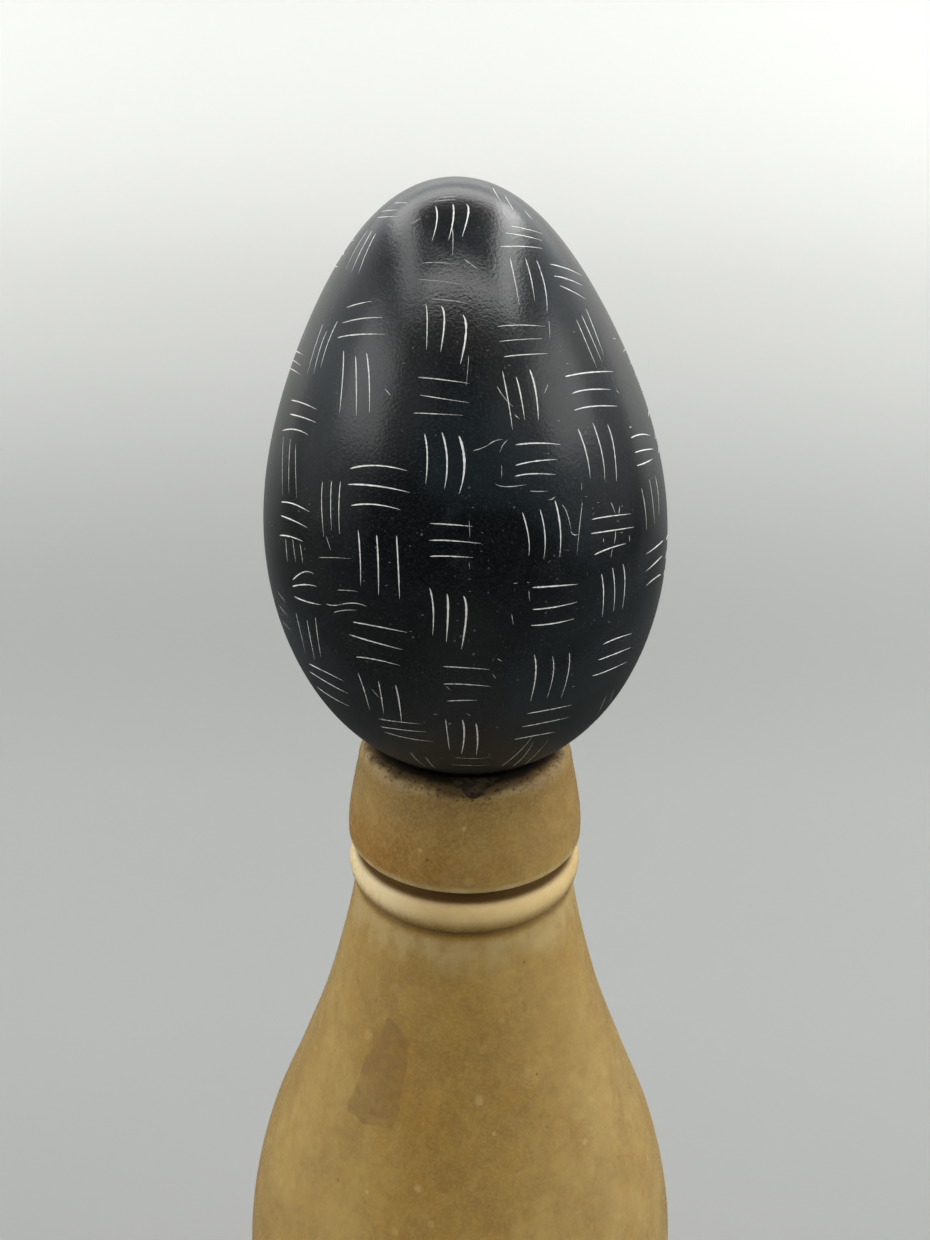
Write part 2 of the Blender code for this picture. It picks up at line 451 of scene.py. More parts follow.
def lip_and_collar_line():
    """Over the lip, down the collar, round its lower edge and into the groove."""
    lip_round = 0.5 * (COLLAR_TOP_RADIUS - BORE_RADIUS)
    lip_centre = (BORE_RADIUS + lip_round, BOTTLE_HEIGHT - lip_round)
    points = ring_arc(lip_centre, lip_round, lip_round, 180, 4, 34)
    low = COLLAR_LINE[-1][0]
    for height in heights_between(COLLAR_LINE_TOP, low, 26):
        points.append((radius_on(COLLAR_LINE, height), height))
    edge_centre = (COLLAR_FLARE_RADIUS - COLLAR_EDGE_ROUND, low)
    points += ring_arc(edge_centre, COLLAR_EDGE_ROUND, COLLAR_EDGE_ROUND, 0, -90, 7)
    top = BOTTLE_HEIGHT - COLLAR_HEIGHT
    points += [(radius, top - depth) for radius, depth in COLLAR_UNDERSIDE]
    for height in heights_between(top - COLLAR_UNDERSIDE_END, top - GROOVE_WIDTH, 3):
        points.append((GROOVE_RADIUS, height))
    return points


def bead_line():
    """The bead ring as half an ellipse that stands out from the neck."""
    root = NECK_RADIUS - BEAD_ROOT
    top = BOTTLE_HEIGHT - COLLAR_HEIGHT - GROOVE_WIDTH
    middle = (root, top - 0.5 * BEAD_HEIGHT)
    return ring_arc(middle, BEAD_RADIUS - root, 0.5 * BEAD_HEIGHT, 86, -82, 24)


def body_line():
    """Shoulder, straight body, rounded heel and base."""
    high, low = SHOULDER_LINE[0][0], SHOULDER_LINE[-1][0]
    points = [(radius_on(SHOULDER_LINE, height), height) for height in heights_between(high, low, 64)]
    points += [(BODY_RADIUS, height) for height in heights_between(low, HEEL_ROUND, 22)]
    points += ring_arc((BODY_RADIUS - HEEL_ROUND, HEEL_ROUND), HEEL_ROUND, HEEL_ROUND, 0, -90, 8)
    points += [(BODY_RADIUS * share, 0.0) for share in (0.75, 0.5, 0.25, 0.0)]
    return points


def keep_values(mesh, name, values):
    """Keep one number for each point of a mesh, for nodes to read by name."""
    mesh.attributes.new(name, "FLOAT", "POINT").data.foreach_set("value", np.asarray(values, dtype=float))


def outline_object():
    """The bottle's half outline as a loose line, whose points hold their way from the lip's crown in mm."""
    line = hollow_line() + lip_and_collar_line() + bead_line() + body_line()
    ways = [0.0]
    for before, after in zip(line, line[1:]):
        ways.append(ways[-1] + 1000 * math.hypot(after[0] - before[0], after[1] - before[1]))
    crown = max(range(len(line)), key=lambda index: line[index][1])
    mesh = bpy.data.meshes.new("bottle_outline")
    edges = [(index, index + 1) for index in range(len(line) - 1)]
    mesh.from_pydata([(radius, 0.0, height) for radius, height in line], edges, [])
    keep_values(mesh, "from_crown", [way - ways[crown] for way in ways])
    outline = bpy.data.objects.new("bottle_outline", mesh)
    bpy.context.scene.collection.objects.link(outline)
    return outline


def start_geometry(name, sockets):
    """A geometry node tree with its named inputs. Returns it and the inputs' inner sockets."""
    tree = bpy.data.node_groups.new(name, "GeometryNodeTree")
    tree.interface.new_socket("Geometry", in_out="INPUT", socket_type="NodeSocketGeometry")
    for socket, kind in sockets.items():
        tree.interface.new_socket(socket, in_out="INPUT", socket_type="NodeSocket" + kind)
    tree.interface.new_socket("Geometry", in_out="OUTPUT", socket_type="NodeSocketGeometry")
    return tree, put(tree, "NodeGroupInput").outputs


def held(tree, name):
    """The number that a line's points or a mesh's faces hold by name."""
    return put(tree, "GeometryNodeInputNamedAttribute", {"Name": name}, data_type="FLOAT").outputs[0]


def throwing_tree():
    """Geometry nodes: the outline turned about Z, with the soft dents and finger rings of thrown clay."""
    tree, given = start_geometry("throw_bottle", {
        "Outline": "Object", "Stations": "Int", "Sides": "Int", "Dent depth": "Float",
        "Ring depth": "Float", "Seed": "Float", "Glaze": "Material"})
    line = put(tree, "GeometryNodeObjectInfo", {"Object": given["Outline"]}).outputs["Geometry"]
    spans = math_node(tree, "SUBTRACT", given["Stations"], 1.0)
    tube = put(tree, "GeometryNodeMeshCylinder", {
        "Vertices": given["Sides"], "Side Segments": spans, "Radius": 1.0, "Depth": 1.0}, fill_type="NONE")
    place = put(tree, "GeometryNodeInputPosition").outputs[0]
    parts = parts_of(tree, place)
    station = math_node(tree, "ROUND", times(tree, math_node(tree, "SUBTRACT", 0.5, parts["Z"]), spans))
    drawn = put(tree, "GeometryNodeSampleIndex", {"Geometry": line, "Index": station},
                data_type="FLOAT_VECTOR")
    tree.links.new(place, drawn.inputs["Value"])
    drawn_parts = parts_of(tree, drawn.outputs[0])
    way = put(tree, "GeometryNodeSampleIndex", {
        "Geometry": line, "Index": station, "Value": held(tree, "from_crown")}, data_type="FLOAT")
    marked = put(tree, "GeometryNodeStoreNamedAttribute", {
        "Geometry": tube.outputs["Mesh"], "Name": "from_crown", "Value": way.outputs[0]},
        data_type="FLOAT", domain="POINT")
    turned = put(tree, "ShaderNodeCombineXYZ", {
        0: times(tree, parts["X"], drawn_parts["X"]), 1: times(tree, parts["Y"], drawn_parts["X"]),
        2: drawn_parts["Z"]})
    shaped = put(tree, "GeometryNodeSetPosition", {
        "Geometry": marked.outputs[0], "Position": turned.outputs[0]})
    closed = put(tree, "GeometryNodeMergeByDistance", {
        "Geometry": shaped.outputs[0], "Distance": SAME_POINT})

    dents = put(tree, "ShaderNodeTexNoise", {"W": given["Seed"], "Scale": DENT_SCALE, "Detail": 1.0},
                noise_dimensions="4D").outputs[0]
    flattened = put(tree, "ShaderNodeVectorMath", {0: place, 1: THROWING_RING_STRETCH},
                    operation="MULTIPLY")
    rings = put(tree, "ShaderNodeTexNoise", {
        "Vector": flattened.outputs[0], "W": given["Seed"], "Scale": 1.0, "Detail": 1.0},
        noise_dimensions="4D").outputs[0]
    depth = plus(tree, times(tree, rings, given["Ring depth"]), (dents, given["Dent depth"]))
    rise = times(tree, parts_of(tree, place)["Z"], 1 / BASE_FLAT)
    inward = times(tree, depth, math_node(tree, "MINIMUM", rise, 1.0), -1.0)
    outward = put(tree, "GeometryNodeInputNormal").outputs[0]
    inwards = put(tree, "ShaderNodeVectorMath", {0: outward, "Scale": inward}, operation="SCALE")
    uneven = put(tree, "GeometryNodeSetPosition", {
        "Geometry": closed.outputs[0], "Offset": inwards.outputs[0]})
    whole = put(tree, "GeometryNodeRealizeInstances", {"Geometry": uneven.outputs[0]})
    glazed = put(tree, "GeometryNodeSetMaterial", {
        "Geometry": whole.outputs[0], "Material": given["Glaze"]})
    put(tree, "NodeGroupOutput", {0: glazed.outputs[0]})
    return tree


def made_by_nodes(name, tree, values):
    """A piece whose mesh is what the geometry nodes make, kept as a plain mesh at the origin."""
    piece = bpy.data.objects.new(name, bpy.data.meshes.new(name + "_start"))
    bpy.context.scene.collection.objects.link(piece)
    maker = piece.modifiers.new("maker", "NODES")
    maker.node_group = tree
    for socket, value in values.items():
        maker[tree.interface.items_tree[socket].identifier] = value
    evaluated = piece.evaluated_get(bpy.context.evaluated_depsgraph_get())
    mesh = bpy.data.meshes.new_from_object(evaluated)
    mesh.name = name
    # Empty material slots that the nodes leave are taken out.
    while None in mesh.materials[:]:
        mesh.materials.pop(index=mesh.materials[:].index(None))
    piece.modifiers.clear()
    piece.data = mesh
    return piece


def points_and_normals(mesh):
    """A mesh's points and their normals, as arrays."""
    points = np.empty(3 * len(mesh.vertices))
    normals = np.empty(3 * len(mesh.vertices))
    mesh.vertices.foreach_get("co", points)
    mesh.vertices.foreach_get("normal", normals)
    return points.reshape(-1, 3), normals.reshape(-1, 3)


def photo_pixels(points):
    """Where points show in the photograph, as an array of pixel x and y."""
    seen = (np.asarray(points) - np.array(CAMERA_PLACE)) @ np.array(camera_turn)
    across = PHOTO_WIDTH / 2 - FOCAL_PIXELS * seen[:, 0] / seen[:, 2]
    down = PHOTO_HEIGHT / 2 + FOCAL_PIXELS * seen[:, 1] / seen[:, 2]
    return np.stack([across, down], axis=1)


def reach_inside(points, normals, outline):
    """How far points lie inside an outline of photograph pixels, in millimetres. Outside is negative."""
    pixels = photo_pixels(points)
    corners = np.array(outline, dtype=float)
    nearest = np.full(len(points), 1e9)
    inside = np.zeros(len(points), dtype=bool)
    for start, end in zip(corners, np.roll(corners, -1, axis=0)):
        side = end - start
        part = np.clip((pixels - start) @ side / (side @ side), 0, 1)
        nearest = np.minimum(nearest, np.linalg.norm(pixels - start - part[:, None] * side, axis=1))
        crosses = (start[1] > pixels[:, 1]) != (end[1] > pixels[:, 1])
        rise = side[1] if side[1] else 1e-9
        at = start[0] + side[0] * (pixels[:, 1] - start[1]) / rise
        inside ^= crosses & (pixels[:, 0] < at)
    towards = np.array(CAMERA_PLACE) - points
    depth = np.linalg.norm(towards, axis=1)
    reach = np.where(inside, 1.0, -1.0) * nearest * depth / FOCAL_PIXELS * 1000
    return np.where((normals * towards).sum(axis=1) > 0, reach, TURNED_AWAY)


def knock_chip(mesh):
    """Press the chip into the lip's outer edge, with a shelly floor, and keep where it is for the glaze."""
    points, normals = points_and_normals(mesh)
    reach = reach_inside(points, normals, CHIP_OUTLINE)
    for index in np.flatnonzero(reach > 0):
        shell = noise.noise(Vector(points[index]) * CHIP_SHELL_SCALE)
        depth = CHIP_DEPTH * (1 - math.exp(-CHIP_STEEPNESS * reach[index]))
        depth *= 1 + CHIP_SHELL_DEPTH * shell
        points[index] -= depth * normals[index]
    mesh.vertices.foreach_set("co", points.ravel())
    keep_values(mesh, "chip_reach", reach)
    keep_values(mesh, "patch_reach", reach_inside(points, normals, PATCH_OUTLINE))
    mesh.update()


def band(tree, value, start, full, fading, end):
    """1 between full and fading, and 0 before start and after end."""
    return times(tree, ease(tree, value, start, full), ease(tree, value, end, fading))


def start_group(title, inputs, output):
    """An empty shader group with its named inputs and one output, and the inputs' inner sockets."""
    group = bpy.data.node_groups.new(title, "ShaderNodeTree")
    group.interface.new_socket("Place", in_out="INPUT", socket_type="NodeSocketVector")
    for name, value in inputs.items():
        socket = group.interface.new_socket(name, in_out="INPUT", socket_type="NodeSocketFloat")
        socket.default_value = value
    group.interface.new_socket(output, in_out="OUTPUT", socket_type="NodeSocketFloat")
    return group, put(group, "NodeGroupInput").outputs


def clouding_group():
    """Soft patches: 0 between them and 1 in their middle."""
    sizes = {"Scale": 60.0, "Detail": 3.0, "Warp": 0.0, "Low": 0.4, "High": 0.65}
    group, given = start_group("clouding", sizes, "Mask")
    cloud = put(group, "ShaderNodeTexNoise", {
        "Vector": given["Place"], "Scale": given["Scale"], "Detail": given["Detail"],
        "Distortion": given["Warp"]})
    put(group, "NodeGroupOutput", {0: ease(group, cloud.outputs[0], given["Low"], given["High"])})
    return group


def dots_group():
    """Small round dots in some cells of a grid: Share says in how many, and Size how wide."""
    group, given = start_group("dots", {"Scale": 500.0, "Size": 0.25, "Share": 0.1}, "Mask")
    cells = put(group, "ShaderNodeTexVoronoi", {"Vector": given["Place"], "Scale": given["Scale"]})
    chance = put(group, "ShaderNodeSeparateColor", {0: cells.outputs["Color"]})
    chosen = math_node(group, "LESS_THAN", chance.outputs[0], given["Share"])
    width = times(group, given["Size"], ease(group, chance.outputs[1], 0.0, 1.0, 0.5, 1.0))
    inside = ease(group, cells.outputs["Distance"], width, times(group, width, 0.5))
    put(group, "NodeGroupOutput", {0: times(group, chosen, inside)})
    return group


def grain_group():
    """The height of a finely uneven surface: grain of one size on slow waves of another."""
    sizes = {"Grain scale": 3000.0, "Wave scale": 120.0, "Wave share": 0.5}
    group, given = start_group("grain", sizes, "Height")
    fine = put(group, "ShaderNodeTexNoise", {
        "Vector": given["Place"], "Scale": given["Grain scale"], "Detail": 2.0, "Roughness": 0.6})
    wave = put(group, "ShaderNodeTexNoise", {
        "Vector": given["Place"], "Scale": given["Wave scale"], "Detail": 1.0})
    put(group, "NodeGroupOutput", {0: plus(group, fine.outputs[0], (wave.outputs[0], given["Wave share"]))})
    return group


def spot_group():
    """One spot with a soft edge, round a point given by its three coordinates."""
    group, given = start_group("spot", {"X": 0.0, "Y": 0.0, "Z": 0.0, "Radius": 0.0003}, "Mask")
    centre = put(group, "ShaderNodeCombineXYZ", {0: given["X"], 1: given["Y"], 2: given["Z"]})
    away = put(group, "ShaderNodeVectorMath", {0: given["Place"], 1: centre.outputs[0]},
               operation="DISTANCE")
    inner = times(group, given["Radius"], 0.15)
    put(group, "NodeGroupOutput", {0: ease(group, away.outputs["Value"], given["Radius"], inner)})
    return group


clouding = clouding_group()
dots = dots_group()
grain = grain_group()
spot = spot_group()


def mark(tree, group, place, **values):
    """One use of a shared group, as the socket that holds its mask or height."""
    made = put(tree, "ShaderNodeGroup", node_tree=group)
    tree.links.new(place, made.inputs["Place"])
    for name, value in values.items():
        made.inputs[name.replace("_", " ")].default_value = value
    return made.outputs[0]


def moved_place(tree, place, shift=(0.0, 0.0, 0.0), turn=(0.0, 0.0, 0.0), stretch=(1.0, 1.0, 1.0)):
    """The place, shifted, turned and stretched, so that a pattern runs another way."""
    mapping = put(tree, "ShaderNodeMapping", {
        "Vector": place, "Location": shift, "Rotation": turn, "Scale": stretch})
    return mapping.outputs[0]


def most(tree, value, *others):
    """The greatest of several values."""
    for other in others:
        value = math_node(tree, "MAXIMUM", value, other)
    return value


def sight_line(pixel_x, pixel_y):
    """The direction from the camera through a pixel of the photograph."""
    across = (pixel_x - PHOTO_WIDTH / 2) / FOCAL_PIXELS
    up = (PHOTO_HEIGHT / 2 - pixel_y) / FOCAL_PIXELS
    return (camera_turn @ Vector((across, up, -1.0))).normalized()


def spots_mask(tree, place, spots, surface_tree):
    """All the listed spots of one kind as one mask."""
    masks = []
    for group in spots.values():
        for pixel_x, pixel_y, width in group:
            met = surface_tree.ray_cast(CAMERA_PLACE, sight_line(pixel_x, pixel_y))[0]
            radius = 0.5 * width * (met - CAMERA_PLACE).length / FOCAL_PIXELS
            masks.append(mark(tree, spot, place, X=met.x, Y=met.y, Z=met.z, Radius=radius))
    return most(tree, *masks)


def kept(tree, name):
    """The number that a piece's points or faces keep by name, for its finish."""
    return put(tree, "ShaderNodeAttribute", attribute_name=name).outputs["Fac"]


def coats(tree, colour, layers):
    """A colour under thin coats. Each is a colour, then masks and shares that say how much it covers."""
    for over, *shares in layers:
        colour = tint(tree, times(tree, *shares), colour, over)
    return colour


def paint_glaze(material, surface, surface_tree):
    """Honey salt glaze: clouded, streaked and speckled, worn on its edges and dirty where the egg rests,
    with
    painted light and shade: paler sides, a lit bead top and collar edge, shade under the bead and the egg.
    """
    tree = material.node_tree
    place = put(tree, "ShaderNodeTexCoord").outputs["Object"]
    parts = parts_of(tree, place)
    way = kept(tree, "from_crown")
    chip = kept(tree, "chip_reach")
    ragged = put(tree, "ShaderNodeTexNoise", {"Vector": place, "Scale": 420.0, "Detail": 4.0}).outputs[0]
    wander = math_node(tree, "SUBTRACT", ragged, 0.5)

    upright = moved_place(tree, place, stretch=(1.0, 1.0, 0.25))
    squat = moved_place(tree, place, stretch=(1.0, 1.0, 0.6))
    burnt_place = moved_place(tree, place, shift=(0.3, 0.1, 0.2))
    blotch_place = moved_place(tree, place, shift=(0.7, 0.2, 0.5), stretch=(1.0, 1.0, 0.7))
    flake_place = moved_place(tree, place, shift=(0.2, 0.7, 0.4))
    pale_place = moved_place(tree, place, shift=(0.6, 0.2, 0.9))
    freckle_place = moved_place(tree, place, shift=(0.4, 0.6, 0.1))
    pale_freckle_place = moved_place(tree, place, shift=(0.9, 0.3, 0.8))
    dirt_place = moved_place(tree, place, shift=(0.1, 0.5, 0.3))
    tan = mark(tree, clouding, squat, Scale=62.0, Detail=5.0, Warp=0.6, Low=0.40, High=0.62)
    gold = mark(tree, clouding, upright, Scale=85.0, Detail=5.0, Warp=0.5, Low=0.50, High=0.68)
    runs = mark(tree, clouding, upright, Scale=260.0, Detail=4.0, Warp=0.2, Low=0.44, High=0.66)
    burnt = mark(tree, clouding, burnt_place, Scale=70.0, Detail=6.0, Warp=0.9, Low=0.50, High=0.66)
    mottle = mark(tree, clouding, place, Scale=800.0, Detail=6.0, Warp=0.3, Low=0.42, High=0.60)
    blotches = mark(tree, clouding, blotch_place, Scale=150.0, Detail=6.0, Warp=0.3, Low=0.48, High=0.62)
    pores = mark(tree, clouding, place, Scale=2600.0, Detail=3.0, Low=0.42, High=0.62)
    flakes = mark(tree, clouding, flake_place, Scale=300.0, Detail=4.0, Warp=0.3, Low=0.52, High=0.56)
    pale_flakes = mark(tree, clouding, pale_place, Scale=330.0, Detail=4.0, Warp=0.3, Low=0.54, High=0.58)
    freckles = mark(tree, dots, freckle_place, Scale=250.0, Size=0.34, Share=0.30)
    pale_freckles = mark(tree, dots, pale_freckle_place, Scale=230.0, Size=0.30, Share=0.22)
    # Paler towards the left and right of the bottle: painted side sheen.
    painted_side_sheen = math_node(tree, "ADD", ease(tree, parts["X"], 0.001, 0.020, 0.0, 0.50),
                         ease(tree, parts["X"], -0.006, -0.022, 0.0, 0.30))

    high_collar = band(tree, way, *HIGH_COLLAR)
    middle_collar = band(tree, way, *MIDDLE_COLLAR)
    low_collar = band(tree, way, *LOW_COLLAR)
    leftward = ease(tree, parts["X"], 0.012, -0.012, 0.35, 1.0)
    collar_burn = times(tree, low_collar, leftward, ease(tree, burnt, 0.0, 1.0, 0.55, 1.0))
    burn = most(tree, times(tree, burnt, 0.28), times(tree, collar_burn, 0.92))
    patch_edge = plus(tree, kept(tree, "patch_reach"), (wander, 1.2))
    # Cream bead glaze, kept to the upper part as painted light on its top.
    bead = band(tree, plus(tree, way, (wander, 0.7)), *BEAD_CREAM_AND_TOP_LIGHT)
    # Paler cream on the bead's left side is a painted highlight.
    bead_left_highlight = ease(tree, parts["X"], -0.003, -0.011, 0.0, 0.8)
    below_way = plus(tree, way, (wander, 5.0), (runs, 2.5))
    below_bead = times(tree, ease(tree, way, 26.0, 27.2), ease(tree, below_way, 33.0, 29.0))
    worn_lip = band(tree, plus(tree, way, (wander, 1.6)), *WORN_LIP)
    # Worn glaze and a painted highlight on the collar's lower edge.
    worn_edge_and_highlight = band(tree, way, *WORN_EDGE_AND_HIGHLIGHT)
    groove = band(tree, way, *GROOVE)
    # Painted shade on the bead's lower half and under it.
    under_bead_shade = band(tree, way, *UNDER_BEAD_SHADE)

    scattered = mark(tree, dots, place, Scale=420.0, Size=0.15, Share=0.10)
    peppered = mark(tree, dots, place, Scale=1100.0, Size=0.22, Share=0.05)
    iron = spots_mask(tree, place, IRON_SPOTS, surface_tree)
    iron = most(tree, times(tree, iron, 0.70), times(tree, scattered, 0.45), times(tree, peppered, 0.30))
    inside = ease(tree, way, -9.0, -6.0)
    near_chip = ease(tree, chip, -5.0, 0.0, 0.0, 1.4)
    on_left = ease(tree, parts["X"], 0.004, -0.010, 0.0, 0.5)
    dirt_way = plus(tree, way, (wander, 2.6), (near_chip, -1.0), (on_left, -1.0))
    dirt = times(tree, ease(tree, dirt_way, 2.1, 0.6), inside)
    # A near-black band round the egg's seat: soot and painted shade under the egg.
    soot_and_shade_way = plus(tree, way, (wander, 1.3), (near_chip, -0.35))
    soot_and_contact_shade = times(tree, ease(tree, soot_and_shade_way, 1.25, 0.15), inside)
    stuck_dirt = mark(tree, clouding, dirt_place, Scale=2300.0, Detail=3.0, Low=0.585, High=0.61)
    crumbs = mark(tree, clouding, place, Scale=1500.0, Detail=4.0, Low=0.40, High=0.58)
    chip_edge = plus(tree, chip, (wander, 0.9))
    chipped = ease(tree, chip_edge, -0.12, 0.16)
    chip_rim = times(tree, band(tree, chip_edge, -0.14, -0.02, 0.04, 0.22), ease(tree, way, 1.6, 2.6))
    bare = ease(tree, parts["Z"], 0.0016, 0.0009)

    colour = coats(tree, HONEY, (
        (DULL_TAN, tan, 0.60),
        (PALE_GOLD, gold, 0.40),
        # Painted side sheen.
        (SHEEN_KHAKI, painted_side_sheen, ease(tree, tan, 0.0, 1.0, 1.0, 0.6)),
        (DULL_TAN, runs, 0.35),
        (OLIVE_TAN, high_collar, 0.50),
        (GREY_PATCH, middle_collar, 0.42),
        (BURNT_ORANGE, burn),
        (GREY_PATCH, blotches, 0.24),
        (GREY_PATCH, mottle, 0.20),
        (GREY_PATCH, flakes, 0.12),
        (PALE_GOLD, pale_flakes, 0.14),
        (PALE_GOLD, pores, 0.28),
        (BURNT_ORANGE, freckles, 0.22),
        (CREAM, pale_freckles, 0.16),
        (GREY_PATCH, ease(tree, patch_edge, -0.05, 0.12), ease(tree, mottle, 0.0, 1.0, 0.36, 0.52)),
        (CREAM, spots_mask(tree, place, PALE_SPOTS, surface_tree), 0.34),
        # Cream bead, lighter on top: its glaze colour and painted top light.
        (CREAM, bead, ease(tree, tan, 0.0, 1.0, 0.88, 0.68)),
        # Painted highlight on the bead's left side.
        (HIGHLIGHT_CREAM, bead, bead_left_highlight),
        (BEIGE, below_bead, ease(tree, ragged, 0.35, 0.6, 0.20, 0.60)),
        (BEIGE, worn_lip, ease(tree, ragged, 0.40, 0.62, 0.05, 0.42)),
        # Worn edge and painted highlight.
        (BEIGE, worn_edge_and_highlight, ease(tree, ragged, 0.40, 0.6, 0.40, 0.85)),
        (GROOVE_BROWN, groove, 0.95),
        # Painted shade under the bead.
        (GROOVE_BROWN, under_bead_shade, 0.60),
        (IRON_BROWN, iron),
        (OLD_DIRT, dirt, 0.86),
        # Soot and painted shade under the egg.
        (SOOT_AND_SHADE_BLACK, soot_and_contact_shade, 0.94),
        (SOOT_AND_SHADE_BLACK, stuck_dirt, ease(tree, dirt_way, 3.4, 1.4), inside, 0.70),
        (tint(tree, times(tree, crumbs, 0.8), CHIPPED_CLAY, SOOT_AND_SHADE_BLACK), chipped, 0.92),
        (SOOT_AND_SHADE_BLACK, chip_rim, 0.75),
        (BARE_CLAY, bare)))
    tree.links.new(colour, surface.inputs["Base Color"])

    rough = plus(tree, 0.26, (mottle, 0.10), (worn_lip, 0.15))
    dull = most(tree, dirt, chipped, bare, groove)
    tree.links.new(most(tree, rough, times(tree, dull, 0.85)), surface.inputs["Roughness"])
    surface.inputs["Specular IOR Level"].default_value = 0.3
    peel = mark(tree, grain, place, Grain_scale=900.0, Wave_scale=220.0, Wave_share=2.0)
    bump = put(tree, "ShaderNodeBump", {"Height": peel, "Strength": 0.25, "Distance": 0.00005})
    tree.links.new(bump.outputs[0], surface.inputs["Normal"])


outline = outline_object()
glaze, glaze_surface = start_finish("honey_salt_glaze", HONEY, 0.3)
bottle = made_by_nodes("glazed_stoneware_bottle", throwing_tree(), {
    "Outline": outline, "Stations": len(outline.data.vertices), "Sides": BOTTLE_SIDES,
    "Dent depth": DENT_DEPTH, "Ring depth": THROWING_RING_DEPTH, "Seed": DENT_SEED, "Glaze": glaze})
bpy.data.objects.remove(outline)
knock_chip(bottle.data)
bottle.data.shade_smooth()
bottle_surface = BVHTree.FromPolygons([point.co for point in bottle.data.vertices],
                                      [face.vertices for face in bottle.data.polygons])
paint_glaze(glaze, glaze_surface, bottle_surface)
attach(bottle, "root")
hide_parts("stoneware_bottle")

# Stone egg
# One piece of soft stone, turned and rubbed to an egg, dyed black and waxed to a satin shine. Groups of
# three short strokes are cut through the dye into the pale stone. It rests loose on the bottle's lip, blunt
# end down.

EGG_LENGTH = 0.0705
EGG_WIDTH = 0.0481
EGG_TAPER = 0.187
EGG_FLANK = -0.106
EGG_ENDS = 0.137
EGG_LEAN = math.radians(2.8)
EGG_SETTLE = 0.00002
EGG_SIDES = 160
EGG_RINGS = 128
GROOVE_SPACING = 0.00022
GROOVE_RAGGEDNESS = 1.3
GROOVE_SEED = 3.0
GROOVE_RAGGED_SCALE = 3600.0
GRAVER_LIFT = 0.55
GRAVER_WIDTH = 1.2
GRAVER_TAPER = {0.0: 0.22, 0.05: 0.74, 0.16: 1.0, 0.55: 0.90, 0.82: 0.50, 1.0: 0.12}

egg_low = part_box("carved_egg")[0]
blunt_round = (0.5 * EGG_WIDTH * (1 + EGG_TAPER + EGG_FLANK + EGG_ENDS)) ** 2 / (0.5 * EGG_LENGTH)
egg_middle = 0.5 * EGG_LENGTH - blunt_round
egg_place = Vector((0.0, 0.0, egg_low.z + blunt_round * math.cos(EGG_LEAN) - EGG_SETTLE))
egg_turn = Matrix.Rotation(-EGG_LEAN, 3, "Y")


def egg_shape(along):
    """How much wider than an ellipse the egg is, where along is 1 at the tip and -1 at the blunt end."""
    return 1 - EGG_TAPER * along + EGG_FLANK * along ** 2 + EGG_ENDS * along ** 4


def egg_radius(along):
    """The egg's radius at that height."""
    return 0.5 * EGG_WIDTH * math.sqrt(max(1 - along ** 2, 0.0)) * egg_shape(along)


def egg_point(around, along):
    """A point of the egg's skin. Around is the angle from the photographed side, to the right."""
    radius = egg_radius(along)
    height = egg_middle + 0.5 * EGG_LENGTH * along
    local = Vector((radius * math.sin(around), -radius * math.cos(around), height))
    return egg_place + egg_turn @ local


def egg_normals(points):
    """The skin's outward normals at points on or near it."""
    local = (np.asarray(points) - np.array(egg_place)) @ np.array(egg_turn)
    along = np.clip((local[:, 2] - egg_middle) / (0.5 * EGG_LENGTH), -0.9999, 0.9999)
    slope = -EGG_TAPER + 2 * EGG_FLANK * along + 4 * EGG_ENDS * along ** 3
    bend = np.sqrt(1 - along ** 2)
    change = 0.5 * EGG_WIDTH * (slope * bend - egg_shape(along) * along / bend) / (0.5 * EGG_LENGTH)
    flat = np.hypot(local[:, 0], local[:, 1]) + 1e-12
    normal = np.stack([local[:, 0] / flat, local[:, 1] / flat, -change], axis=1)
    normal /= np.linalg.norm(normal, axis=1, keepdims=True)
    return normal @ np.array(egg_turn).T


